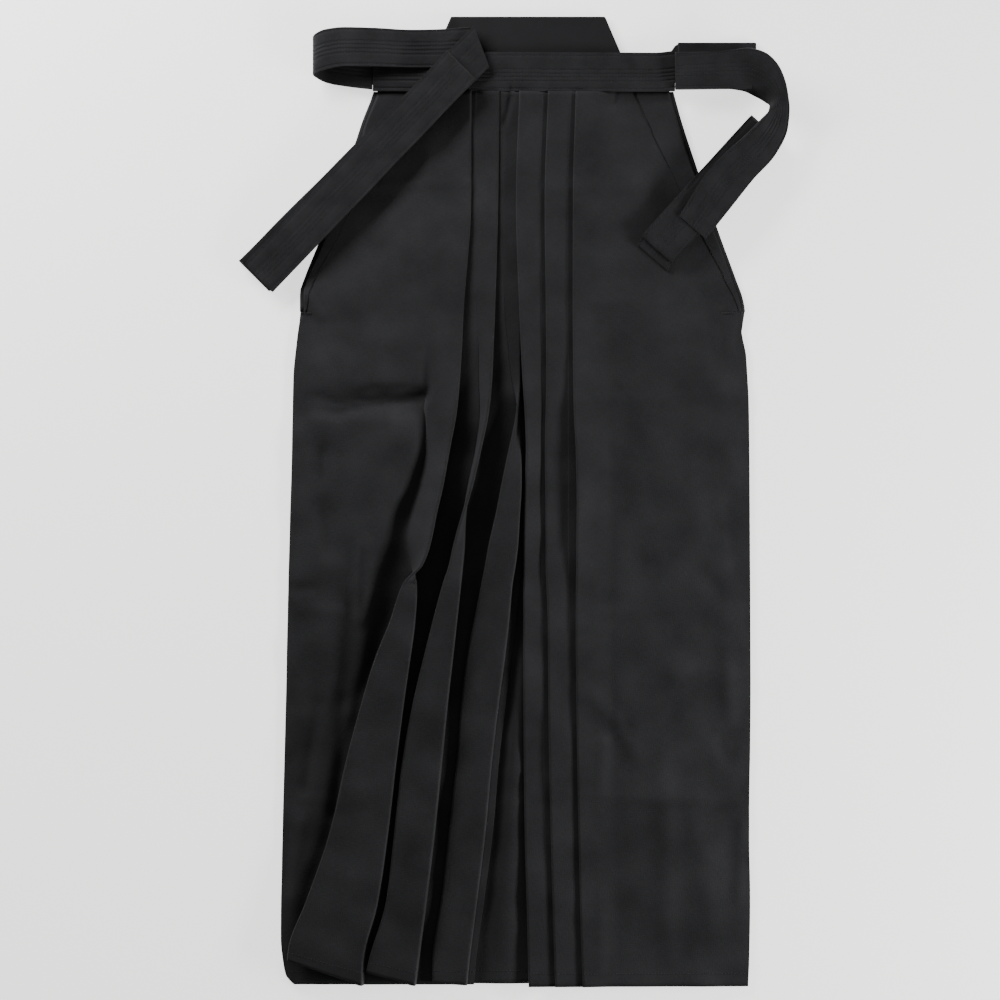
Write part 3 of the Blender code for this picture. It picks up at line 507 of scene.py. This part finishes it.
def legSection(leg, down):
    side = leg["side"]
    pleats = rowAt(pleatColumns, leg["pleats"], down)
    crown = rowAt(crownColumns, leg["crown"], down)
    edge = outlineAt(leg, down)
    slit = min(1.0, max(0.0, (cloth["slitEndDown"] + cloth["slitEase"] - down) / cloth["slitEase"]))
    edge += side * cloth["slitLap"] * slit
    edgeHeight = cloth["innerLevel"] + (cloth["frontLevel"] - cloth["innerLevel"]) * slit
    share = max(0.0, (down - leg["hemStartsDown"]) / (cloth["hemDown"] - leg["hemStartsDown"])) ** 2
    corners = [(side * edge, 0, edgeHeight), (side * crown["crown"], 0, crown["crownHeight"]),
               (side * crown["trough"], 0, crown["troughHeight"])]
    stops = []
    for k in (1, 2, 3):
        lead = cloth["firstPleatLead"] if k == 1 else 0.0
        points, marks = pleatCorners(side * pleats[f"root{k}"], side * pleats[f"crease{k}"], pleats[f"stand{k}"],
                                     lead)
        up = share * leg["hemDrawnUp"][k - 1]
        lifts = (0, 0, 0, up, up, 0, 0, 0)
        corners += [(x, lift, z) for (x, z), lift in zip(points, lifts)]
        stops += [np.array([x, lift, z]) for (x, z), lift in zip(marks, (0, 0, up, 0, 0))]
    corners.append((side * pleats["inner"], 0, cloth["frontLevel"]))
    radii = [cloth["crownRound"], cloth["troughRound"]] + [cloth["foldRound"]] * (len(corners) - 4)
    line = spreadPoints(roundCorners(corners, radii), stops, leg["columns"])
    return np.stack([side * line[:, 0], down - line[:, 1], line[:, 2]], axis=1)


def makeLeg(leg, name, node):
    lastDown = leg["outline"][-1][0]
    downs = np.linspace(cloth["waistDown"], lastDown, int((lastDown - cloth["waistDown"]) / leg["rowStep"]))
    points = np.array([legSection(leg, down) for down in downs])
    across = points[..., 0]
    down = points[..., 1]
    fallen = smoothStep(slack["fallenFrom"], slack["fallenTo"], down)
    broad = slackLift(across, down, slack["size"], slack["stretch"], 3.1)
    small = slackLift(across, down, slack["fallenSize"], slack["fallenStretch"], 7.7)
    points[..., 2] += creaseLift(across, down)
    points[..., 2] += slack["height"] * broad
    points[..., 2] += slack["fallenHeight"] * fallen * small
    points[..., 2] = np.maximum(points[..., 2], cloth["innerLevel"])
    piece = makeSheet(name, points, cloth["wall"], cotton)
    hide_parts(node)
    return piece, points


rightFront, rightPoints = makeLeg(rightLeg, "rightFrontPleated", "front_right_panel")
leftFront, leftPoints = makeLeg(leftLeg, "leftFrontPleated", "front_left_panel")
print("fronts pleated")

# The two backs, the layer between the legs and the facings of the side slits
flatParts = {
    "backTop": {"down": 91.8, "right": 417.0, "left": 639.0}, "centre": 514.5, "seam": 0.3,
    "facingWidth": 15.0, "facingRows": 40, "facingColumns": 6, "rows": 90, "columns": 24,
    "gusset": [(432.0, 512.0, 536.0, 0.0), (520.0, 502.0, 545.0, 0.0), (583.0, 494.0, 549.0, 1.4),
               (620.0, 489.0, 550.5, 2.4), (700.0, 478.0, 553.0, 4.2), (830.0, 464.0, 556.0, 5.4),
               (900.0, 456.0, 558.0, 5.4), (983.0, 446.0, 560.0, 3.0)],
    "gussetSlackFrom": 9.5, "gussetSlackTo": 531.0, "gussetSlackRound": 1.5,
    "gussetRows": 110, "gussetColumns": 40, "gussetFolds": (770, 802), "foldHeight": 0.5, "foldWidth": 3.5,
}


def makeBack(leg, name, node, top, centre):
    start = flatParts["backTop"]["down"]
    end = cloth["slitEndDown"]
    rows = []
    for down in np.linspace(start, cloth["hemDown"] - 1, flatParts["rows"]):
        share = min(1.0, (down - start) / (end - start))
        edge = outlineAt(leg, max(down, end))
        edge = top + (edge - top) * share
        rows.append([(x, down, cloth["backLevel"]) for x in np.linspace(edge, centre, flatParts["columns"])])
    points = np.array(rows)
    piece = makeSheet(name, points, cloth["wall"], cotton)
    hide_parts(node)
    return piece, points


rightBack, rightBackPoints = makeBack(rightLeg, "rightBack", "back_right_panel", flatParts["backTop"]["right"],
                                      flatParts["centre"] - flatParts["seam"] / 2)
leftBack, leftBackPoints = makeBack(leftLeg, "leftBack", "back_left_panel", flatParts["backTop"]["left"],
                                    flatParts["centre"] + flatParts["seam"] / 2)


def makeGusset():
    table = np.array(flatParts["gusset"])
    rows = []
    for down in np.linspace(table[0, 0], table[-1, 0], flatParts["gussetRows"]):
        right, left, rise = [float(smoothBetween(table[:, 0], table[:, k], down)) for k in (1, 2, 3)]
        across = np.linspace(right, left, flatParts["gussetColumns"])
        start = rowAt(pleatColumns, rightLeg["pleats"], down)["root3"] + flatParts["gussetSlackFrom"]
        share = np.clip((across - start) / (flatParts["gussetSlackTo"] - start), 0, 1)
        hump = [rise * math.sin(math.pi * s) ** flatParts["gussetSlackRound"] for s in share]
        rows.append([(x, down, cloth["innerLevel"] + lift) for x, lift in zip(across, hump)])
    points = np.array(rows)
    for fold in flatParts["gussetFolds"]:
        away = (points[..., 1] - fold) / flatParts["foldWidth"]
        points[..., 2] += flatParts["foldHeight"] * np.exp(-away ** 2)
    piece = makeSheet("legGusset", points, cloth["wall"], cotton)
    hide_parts("crotch_gusset")
    return piece, points


legGusset, gussetPoints = makeGusset()


def makeFacing(leg, name, node):
    rows = []
    for down in np.linspace(cloth["waistDown"] + 0.3, cloth["slitEndDown"] - 1, flatParts["facingRows"]):
        edge = outlineAt(leg, down)
        rows.append([(edge + leg["side"] * flatParts["facingWidth"] * s, down, cloth["innerLevel"])
                     for s in np.linspace(0, 1, flatParts["facingColumns"])])
    points = np.array(rows)
    piece = makeSheet(name, points, cloth["wall"], cotton)
    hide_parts(node)
    return piece, points


rightFacing, rightFacingPoints = makeFacing(rightLeg, "rightSlitFacing", "side_slit_facing_right")
leftFacing, leftFacingPoints = makeFacing(leftLeg, "leftSlitFacing", "side_slit_facing_left")


# The slit's turned hem, a narrow wedge stitched flat onto the front; it runs out at the tack
slitHems = {
    "wall": 0.3, "gap": 0.05, "topWidth": 35.5, "endWidth": 2.0, "belowBand": 1.2, "aboveTack": 0.5,
    "edgeInset": 0.4, "rows": 60, "columns": 14,
}


def makeSlitHem(leg, front, name):
    side = leg["side"]
    top = cloth["waistDown"]
    end = cloth["slitEndDown"]
    rowGap = front[1, 0, 1] - front[0, 0, 1]
    rows = []
    for down in np.linspace(top + slitHems["belowBand"], end - slitHems["aboveTack"], slitHems["rows"]):
        row = front[int(round((down - front[0, 0, 1]) / rowGap))]
        share = (down - top) / (end - top)
        width = slitHems["topWidth"] + (slitHems["endWidth"] - slitHems["topWidth"]) * share
        edge = row[0, 0] + side * slitHems["edgeInset"]
        across = np.linspace(edge, edge + side * width, slitHems["columns"])
        panel = row[:leg["columns"][0]]
        heights = np.interp(side * across, side * panel[:, 0], panel[:, 2])
        rise = cloth["wall"] / 2 + slitHems["gap"] + slitHems["wall"] / 2
        rows.append([(x, down, z + rise) for x, z in zip(across, heights)])
    points = np.array(rows)
    return makeSheet(name, points, slitHems["wall"], cotton), points


rightSlitHem, rightSlitHemPoints = makeSlitHem(rightLeg, rightPoints, "rightSlitHem")
leftSlitHem, leftSlitHemPoints = makeSlitHem(leftLeg, leftPoints, "leftSlitHem")
print("backs, gusset, facings and slit hems laid")

# The stiff back board, the waistband and the ties. Stitch rows are read from the upper edge of the band or tie.
bandParts = {
    "boardWall": 4.2, "bandWall": 3.2, "tieWall": 1.6, "tieWidth": 39.0, "grooveWidth": 0.9, "grooveDepth": 0.5,
    "bandStitches": (3.6, 17.5, 21.5, 25.0, 29.0, 36.4), "tieStitches": (2.6, 13.5, 17.5, 21.5, 25.5, 36.6),
    "stitchPitch": 3.0, "stitchSize": 0.34, "softEdge": 0.5,
}


def groove(offsets, rows):
    depth = np.zeros_like(offsets)
    for row in rows:
        depth += np.exp(-((offsets - row) / bandParts["grooveWidth"]) ** 2)
    return -bandParts["grooveDepth"] * depth


board = {
    "top": 17.0, "bottom": 91.5, "topRight": 451.0, "topLeft": 605.0, "bottomRight": 419.0, "bottomLeft": 637.0,
    "level": 2.46, "softEdge": 1.2, "rows": 40, "columns": 70,
    "dents": ((538, 23), (592, 25)), "dentDepth": 0.3, "dentHalfWidth": 2.0, "dentHalfLength": 4.5,
}


def makeBoard():
    rows = []
    for down in np.linspace(board["top"], board["bottom"], board["rows"]):
        share = (down - board["top"]) / (board["bottom"] - board["top"])
        right = board["topRight"] + (board["bottomRight"] - board["topRight"]) * share
        left = board["topLeft"] + (board["bottomLeft"] - board["topLeft"]) * share
        rows.append([(x, down, board["level"]) for x in np.linspace(right, left, board["columns"])])
    points = np.array(rows)
    for across, down in board["dents"]:
        sideways = (points[..., 0] - across) / board["dentHalfWidth"]
        lengthways = (points[..., 1] - down) / board["dentHalfLength"]
        points[..., 2] -= board["dentDepth"] * np.exp(-(sideways ** 2 + lengthways ** 2))
    piece = makeSheet("backBoard", points, bandParts["boardWall"], boardCotton, soften=board["softEdge"])
    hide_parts("koshi_ita_board")
    return piece, points


# Across, then its upper and its lower edge
waistbandRows = [
    (373.0, 52.0, 91.9), (420.0, 52.4, 92.1), (520.0, 53.0, 92.1), (620.0, 53.4, 92.1), (654.0, 53.5, 92.1),
    (674.7, 51.5, 91.9),
]
waistband = {
    "level": 6.9, "softEdge": 0.9, "rows": 60, "columns": 130, "slackHeight": 0.5, "slackSize": 18,
    "wedgeAcross": 512, "wedgeHalfWidth": 2.2, "wedgeFrom": 74, "wedgeTo": 90, "wedgeDepth": 1.0,
}


def makeWaistband():
    table = np.array(waistbandRows)
    columns = []
    for across in np.linspace(table[0, 0], table[-1, 0], waistband["columns"]):
        upper = float(smoothBetween(table[:, 0], table[:, 1], across))
        lower = float(smoothBetween(table[:, 0], table[:, 2], across))
        downs = np.linspace(upper, lower, waistband["rows"])
        columns.append([(across, down, waistband["level"]) for down in downs])
    points = np.array(columns)
    across = points[..., 0]
    down = points[..., 1]
    points[..., 2] += groove(down - down[:, :1], bandParts["bandStitches"])
    points[..., 2] += waistband["slackHeight"] * slackLift(across, down, waistband["slackSize"], 1.0, 5.5)
    wedge = np.exp(-((across - waistband["wedgeAcross"]) / waistband["wedgeHalfWidth"]) ** 2)
    wedge *= smoothStep(waistband["wedgeFrom"], waistband["wedgeTo"], down)
    points[..., 2] -= waistband["wedgeDepth"] * wedge
    piece = makeSheet("frontWaistband", points, bandParts["bandWall"], tieCotton,
                      soften=waistband["softEdge"])
    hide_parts("front_waistband")
    return piece, points


# Each ribbon by its two edges: upper across and down, lower across and down, upper height, lower height
rightLoopRows = [
    (372.6, 52.0, 372.6, 90.4, 6.9, 6.9), (345.0, 49.0, 345.0, 87.0, 5.6, 5.6),
    (327.0, 46.0, 327.0, 83.5, 4.6, 4.6), (317.5, 41.5, 317.5, 79.0, 6.6, 6.6),
    (314.0, 38.0, 314.0, 76.0, 11.0, 11.0), (317.5, 34.5, 317.5, 74.0, 15.4, 15.4),
    (327.0, 31.0, 327.0, 71.0, 17.4, 17.4), (345.0, 29.0, 345.0, 68.0, 17.4, 17.4),
    (375.0, 29.6, 375.0, 68.0, 15.6, 15.6), (410.0, 31.0, 410.0, 69.0, 11.6, 11.6),
    (438.0, 30.4, 438.0, 68.5, 10.0, 10.0), (470.0, 28.0, 487.0, 66.0, 9.9, 9.9),
]
leftTurnRows = [
    (674.6, 56.0, 674.6, 90.0, 13.4, 13.0), (700.0, 54.0, 700.0, 90.0, 13.6, 13.4),
    (722.0, 52.5, 721.0, 90.0, 15.4, 12.4), (745.0, 50.5, 741.0, 91.5, 22.5, 7.6),
    (762.0, 55.0, 755.0, 97.0, 27.6, 4.8), (776.0, 68.0, 765.0, 102.5, 28.6, 4.0),
    (784.5, 88.0, 769.5, 106.5, 25.0, 6.6), (788.46, 109.0, 767.0, 113.0, 15.0, 19.0),
    (787.0, 128.0, 759.0, 122.0, 13.0, 22.0), (775.0, 155.0, 743.0, 138.0, 14.0, 21.0),
    (752.0, 181.0, 721.0, 157.5, 16.0, 18.6), (733.0, 205.0, 702.0, 179.0, 16.8, 17.0),
    (705.0, 240.0, 678.6, 217.0, 16.7, 16.7),
]
ribbon = {"rowStep": 1.8, "columns": 46, "slackHeight": 0.5, "slackSize": 24, "slackStretch": 1.5}


def makeRibbon(rows, name, node, seed):
    table = np.array(rows, float)
    upper = table[:, [0, 1, 4]]
    lower = table[:, [2, 3, 5]]
    along = np.concatenate([[0], np.cumsum(np.linalg.norm(np.diff((upper + lower) / 2, axis=0), axis=1))])
    places = np.linspace(0, along[-1], int(along[-1] / ribbon["rowStep"]))
    top = np.stack([smoothBetween(along, upper[:, k], places) for k in range(3)], axis=1)[:, None, :]
    bottom = np.stack([smoothBetween(along, lower[:, k], places) for k in range(3)], axis=1)[:, None, :]
    share = np.linspace(0, 1, ribbon["columns"])[None, :, None]
    points = top + (bottom - top) * share
    offsets = bandParts["tieWidth"] * share[..., 0] + 0 * points[..., 0]
    waves = slackLift(places[:, None] + 0 * offsets, offsets, ribbon["slackSize"], ribbon["slackStretch"], seed)
    points[..., 2] += groove(offsets, bandParts["tieStitches"])
    points[..., 2] += ribbon["slackHeight"] * waves
    piece = makeSheet(name, points, bandParts["tieWall"], tieCotton, soften=bandParts["softEdge"])
    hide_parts(node)
    return piece, points


# A tie folded to and fro, each run on top of the one before: where the first run starts, the ends of all runs, how
# far each turns and draws back from the one below, and the height under them along their length
rightBundleSize = {
    "head": (481.0, 47.0), "headAngle": 24.0, "width": 40.0, "runs": 5, "near": (460.5, 68.5),
    "far": (253.3, 274.4), "fan": 0.35, "drawBack": 0.0, "wander": 0.5,
    "rest": [(0.0, 12.0), (45.0, 12.2), (85.0, 10.8), (120.0, 8.8), (190.0, 7.0), (265.0, 5.8), (312.0, 1.0),
             (330.0, 1.0)],
}
leftBundleSize = {
    "head": (766.0, 128.0), "headAngle": 0.0, "width": 40.0, "runs": 4, "near": (764.0, 131.0),
    "far": (652.0, 258.0), "fan": -0.3, "drawBack": 4.5, "wander": 0.5,
    "rest": [(0.0, 1.0), (18.0, 1.6), (55.0, 7.0), (110.0, 8.0), (180.0, 8.0)],
}
leftStartSize = {
    "head": (675.0, 72.0), "headAngle": 0.0, "width": 37.0, "runs": 3, "near": (676.5, 72.0),
    "far": (752.0, 71.0), "fan": 0.0, "drawBack": 0.0, "wander": 0.3,
    "rest": [(0.0, 6.6), (10.0, 6.4), (90.0, 6.0)],
}
bundle = {
    "fold": 1.1, "columns": 30, "pointsPerRun": 70, "softEdge": 0.45, "clearance": 0.05, "layerSpread": 40,
    "slackSize": 60, "turns": (22.5, 45, 67.5, 90, 112.5, 135, 157.5),
}


def makeBundle(size, name, node, seed):
    head, near, far = [np.array(size[key]) for key in ("head", "near", "far")]
    along = (far - near) / np.linalg.norm(far - near)
    aside = np.array([along[1], -along[0]])
    spanFar = float(np.dot(far - near, along))
    headAt = float(np.dot(head - near, along))
    restAt = [row[0] for row in size["rest"]]
    restHeight = [row[1] for row in size["rest"]]
    lean = math.tan(math.radians(size["headAngle"]))
    columns = []
    fold = bundle["fold"]
    for share in np.linspace(-0.5, 0.5, bundle["columns"]):
        sideways = share * size["width"]
        line = []
        for run in range(size["runs"]):
            outward = run % 2 == 0
            farEnd = spanFar - (fold + run * size["drawBack"])
            nearEnd = headAt + sideways * lean if run == 0 else 0.0
            begin = nearEnd if outward else farEnd
            stop = farEnd if outward else 0.0
            fan = math.tan(math.radians(size["fan"] * run))
            level = 2 * fold * run
            for place in np.linspace(begin, stop, bundle["pointsPerRun"]):
                line.append((place, sideways + place * fan, level))
            if run < size["runs"] - 1:
                push = 1 if outward else -1
                for turn in bundle["turns"]:
                    angle = math.radians(turn)
                    line.append((stop + push * fold * math.sin(angle), sideways + stop * fan,
                                 level + fold * (1 - math.cos(angle))))
        columns.append(line)
    flat = np.array(columns).transpose(1, 0, 2)
    lengthways = flat[..., 0]
    layers = flat[..., 2]
    wander = slackLift(lengthways, layers * bundle["layerSpread"], bundle["slackSize"], 1.0, seed)
    sideways = flat[..., 1] + size["wander"] * wander
    floor = smoothBetween(restAt, restHeight, lengthways - min(headAt, 0.0))
    offsets = np.linspace(0, size["width"], flat.shape[1])[None, :] + 0 * lengthways
    heights = floor + layers + groove(offsets, bandParts["tieStitches"])
    points = np.stack([
        near[0] + along[0] * lengthways + aside[0] * sideways,
        near[1] + along[1] * lengthways + aside[1] * sideways,
        np.maximum(heights, bandParts["tieWall"] / 2 + bundle["clearance"]),
    ], axis=-1)
    piece = makeSheet(name, points, bandParts["tieWall"], tieCotton, soften=bundle["softEdge"])
    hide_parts(node)
    return piece, points


# Each back tie runs out from the board to its outer end, and turns again where the front tie hides it
backTies = {
    "left": {"upper": 43.0, "lower": 83.0, "outer": 755.0, "hiddenUpper": 57.0, "turnsAt": 679.0},
    "right": {"upper": 47.0, "lower": 85.0, "outer": 335.0, "hiddenUpper": 47.0, "turnsAt": 405.0},
    "layers": 3, "pitch": 1.35, "wall": 1.0, "gap": 0.3, "tuckLength": 14, "points": 30,
    "turns": (30, 60, 90, 120, 150),
}


def makeBackTie(side, name, node):
    size = backTies[side]
    direction = 1 if side == "left" else -1
    end = "Left" if side == "left" else "Right"
    half = backTies["pitch"] / 2
    columns = []
    for down in np.linspace(size["upper"], size["lower"], backTies["points"]):
        share = (down - board["top"]) / (board["bottom"] - board["top"])
        inner = board["top" + end] + (board["bottom" + end] - board["top" + end]) * share
        inner += direction * (backTies["gap"] + backTies["pitch"])
        tuck = (size["hiddenUpper"] - size["upper"]) * (size["lower"] - down) / (size["lower"] - size["upper"])
        bottomRun = np.linspace(inner, size["outer"], backTies["points"])
        upperRun = np.maximum(bottomRun * direction, size["turnsAt"] * direction) * direction
        line = []
        for layer in range(backTies["layers"]):
            outward = layer % 2 == 0
            run = bottomRun if layer == 0 else upperRun
            run = run if outward else run[::-1]
            level = cloth["backLevel"] + layer * backTies["pitch"]
            hidden = smoothStep(0, backTies["tuckLength"], (size["turnsAt"] - run) * direction)
            line += [(x, down + tuck * part, level) for x, part in zip(run, hidden)]
            if layer < backTies["layers"] - 1:
                push = direction if outward else -direction
                for turn in backTies["turns"]:
                    angle = math.radians(turn)
                    line.append((run[-1] + push * half * math.sin(angle), down,
                                 level + half * (1 - math.cos(angle))))
        columns.append(line)
    points = np.array(columns).transpose(1, 0, 2)
    piece = makeSheet(name, points, backTies["wall"], tieCotton)
    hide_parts(node)
    return piece, points


backBoard, boardPoints = makeBoard()
frontWaistband, waistbandPoints = makeWaistband()
rightLoop, rightLoopPoints = makeRibbon(rightLoopRows, "rightTieLoop", "front_tie_right_loop", 2.2)
rightBundle, rightBundlePoints = makeBundle(rightBundleSize, "rightTieBundle", "front_tie_right_bundle", 4.4)
leftStart, leftStartPoints = makeBundle(leftStartSize, "leftTieStart", "front_tie_left_start", 6.1)
leftTurn, leftTurnPoints = makeRibbon(leftTurnRows, "leftTieTurn", "front_tie_left_turn", 8.3)
leftBundle, leftBundlePoints = makeBundle(leftBundleSize, "leftTieBundle", "front_tie_left_bundle", 9.9)
backTieLeft, backTieLeftPoints = makeBackTie("left", "leftBackTie", "back_tie_left")
backTieRight, backTieRightPoints = makeBackTie("right", "rightBackTie", "back_tie_right")
print("board, waistband and ties made")

# Sewing: rows of lock stitches in the grooves of band and ties, the hem's stitch line and the tacks at the slits
sewing = {
    "lift": 0.12, "hemPitch": 3.2, "hemSize": 0.36, "tackPitch": 1.6, "tackSize": 0.55, "tackLift": 0.75,
    "tackPoints": 40, "panelPoints": 30, "slitPitch": 2.0, "slitSize": 0.42, "slitLift": 0.1, "slitInset": 0.25,
}


def faceNormals(points):
    normals = np.cross(np.gradient(points, axis=0), np.gradient(points, axis=1))
    normals /= np.maximum(np.linalg.norm(normals, axis=2, keepdims=True), 1e-9)
    return normals if normals[..., 2].mean() > 0 else -normals


# The cloth's outer face along one column, or along one row, of a sheet's points
def faceLine(points, wall, rows, columns):
    outer = points + faceNormals(points) * (wall / 2 + sewing["lift"])
    return np.array([pointOn(outer, i, j) for i, j in zip(rows, columns)])


def stitchRows(points, first, last, offsets, width, wall):
    rows = np.arange(first, last)
    stitches = []
    for offset in offsets:
        column = offset / width * (points.shape[1] - 1)
        line = faceLine(points, wall, rows, np.full(len(rows), column))
        stitches += stitchAlong(line, bandParts["stitchPitch"], bandParts["stitchSize"])
    return stitches


def sewTies():
    rows = bandParts["tieStitches"]
    wall = bandParts["tieWall"]
    stitches = []
    for points in (rightLoopPoints, leftTurnPoints):
        stitches += stitchRows(points, 2, len(points) - 2, rows, bandParts["tieWidth"], wall)
    for points, size in ((rightBundlePoints, rightBundleSize), (leftBundlePoints, leftBundleSize)):
        topRun = len(points) - bundle["pointsPerRun"] + 2
        stitches += stitchRows(points, topRun, len(points) - 1, rows, size["width"], wall)
    makeStitches("tieStitches", stitches, sewingThread)


def sewBand():
    last = len(waistbandPoints) - 2
    rows = bandParts["bandStitches"]
    stitches = stitchRows(waistbandPoints, 1, last, rows, bandParts["tieWidth"], bandParts["bandWall"])
    makeStitches("bandStitches", stitches, sewingThread)


def sewHem(points, name):
    rowGap = float(np.median(np.diff(points[:, 0, 1])))
    row = len(points) - 1 - cloth["hemTurn"] / rowGap
    columns = np.linspace(0, points.shape[1] - 1, points.shape[1] * 2)
    line = faceLine(points, cloth["wall"], np.full(len(columns), row), columns)
    stitches = stitchAlong(line, sewing["hemPitch"], sewing["hemSize"])
    makeStitches(name, stitches, sewingThread)


# Close stitches across the lower end of a slit
def sewTack(points, name, start, end):
    down = cloth["slitEndDown"]
    panel = points[int(np.argmin(np.abs(points[:, 0, 1] - down)))][:sewing["panelPoints"]]
    order = np.argsort(panel[:, 0])
    across = np.linspace(start, end, sewing["tackPoints"])
    heights = np.interp(across, panel[order, 0], panel[order, 2]) + cloth["wall"] / 2 + sewing["tackLift"]
    line = np.stack([across, np.full(len(across), down), heights], axis=1)
    makeStitches(name, stitchAlong(line, sewing["tackPitch"], sewing["tackSize"]), sewingThread)


# A taut line of stitches just inside the turned hem of a slit, in the thread with painted shade, so that it reads
# as a dark shadow line
def sewSlitHem(points, name):
    outer = points + np.array([0, 0, slitHems["wall"] / 2 + sewing["slitLift"]])
    line = outer[:, -1] + (outer[:, -2] - outer[:, -1]) * sewing["slitInset"]
    makeStitches(name, stitchAlong(line, sewing["slitPitch"], sewing["slitSize"]), paintedShadeThread)


sewSlitHem(rightSlitHemPoints, "rightSlitStitches")
sewSlitHem(leftSlitHemPoints, "leftSlitStitches")
sewTack(rightPoints, "rightSlitTack", 300.5, 312.0)
sewTack(leftPoints, "leftSlitTack", 721.0, 744.0)
sewBand()
sewTies()
sewHem(rightPoints, "rightHemStitches")
sewHem(leftPoints, "leftHemStitches")
sewHem(gussetPoints, "gussetHemStitches")
print("stitches sewn")

declareSheet(rightFront, rightPoints)
declareSheet(leftFront, leftPoints)
declareSheet(rightBack, rightBackPoints)
declareSheet(leftBack, leftBackPoints)
declareSheet(legGusset, gussetPoints)
declareSheet(rightFacing, rightFacingPoints)
declareSheet(leftFacing, leftFacingPoints)
declareSheet(backBoard, boardPoints)
declareSheet(frontWaistband, waistbandPoints)
declareSheet(rightLoop, rightLoopPoints)
declareSheet(rightBundle, rightBundlePoints)
declareSheet(leftStart, leftStartPoints)
declareSheet(leftTurn, leftTurnPoints)
declareSheet(leftBundle, leftBundlePoints)
declareSheet(backTieLeft, backTieLeftPoints)
declareSheet(backTieRight, backTieRightPoints)
print("cuts stated")

studio = {
    "floorColor": "#fbfbfa", "floorGlow": 1.5, "floorRoughness": 0.9, "floorSize": 4.0, "floorLevel": -0.2,
    "worldColor": "#ffffff", "worldStrength": 0.2, "lensMm": 144.0, "cameraHeight": 4.0, "aimAcross": 500.0,
    "aimDown": 500.0,
}
# Place of each lamp in metres, its width and height, and its watts
lampColumns = ("x", "y", "z", "width", "height", "watts")
lamps = [
    (1.48, -0.37, 0.47, 1.0, 0.25, 33.0),
    (-0.93, 1.19, 0.52, 1.0, 0.25, 33.0),
]


def makeStudio():
    bm = bmesh.new()
    bmesh.ops.create_grid(bm, x_segments=1, y_segments=1, size=studio["floorSize"])
    bmesh.ops.translate(bm, verts=bm.verts, vec=(0, 0, studio["floorLevel"] * mm))
    mesh = bpy.data.meshes.new("studioFloor")
    bm.to_mesh(mesh)
    bm.free()
    floor = bpy.data.objects.new("studioFloor", mesh)
    bpy.context.scene.collection.objects.link(floor)
    # Uncoated background paper, lit from behind: an even, matt white
    paper = bpy.data.materials.new("whitePaper")
    paper.use_nodes = True
    shader = paper.node_tree.nodes["Principled BSDF"]
    shader.inputs["Base Color"].default_value = hexToLinear(studio["floorColor"])
    shader.inputs["Emission Color"].default_value = hexToLinear(studio["floorColor"])
    shader.inputs["Emission Strength"].default_value = studio["floorGlow"]
    shader.inputs["Roughness"].default_value = studio["floorRoughness"]
    mesh.materials.append(paper)
    world = bpy.data.worlds.new("studioWorld")
    world.use_nodes = True
    world.node_tree.nodes["Background"].inputs["Color"].default_value = hexToLinear(studio["worldColor"])
    world.node_tree.nodes["Background"].inputs["Strength"].default_value = studio["worldStrength"]
    bpy.context.scene.world = world
    for row in lamps:
        size = dict(zip(lampColumns, row))
        data = bpy.data.lights.new("studioLamp", "AREA")
        data.shape = "RECTANGLE"
        data.size = size["width"]
        data.size_y = size["height"]
        data.energy = size["watts"]
        lamp = bpy.data.objects.new("studioLamp", data)
        lamp.location = (size["x"], size["y"], size["z"])
        lamp.rotation_euler = (-lamp.location).to_track_quat("-Z", "Y").to_euler()
        bpy.context.scene.collection.objects.link(lamp)
    lens = bpy.data.cameras.new("photoCamera")
    lens.lens = studio["lensMm"]
    camera = bpy.data.objects.new("photoCamera", lens)
    camera.location = ((studio["aimAcross"] - middle["across"]) * mm, (middle["down"] - studio["aimDown"]) * mm,
                       studio["cameraHeight"])
    bpy.context.scene.collection.objects.link(camera)
    bpy.context.scene.camera = camera


makeStudio()
print("studio set")
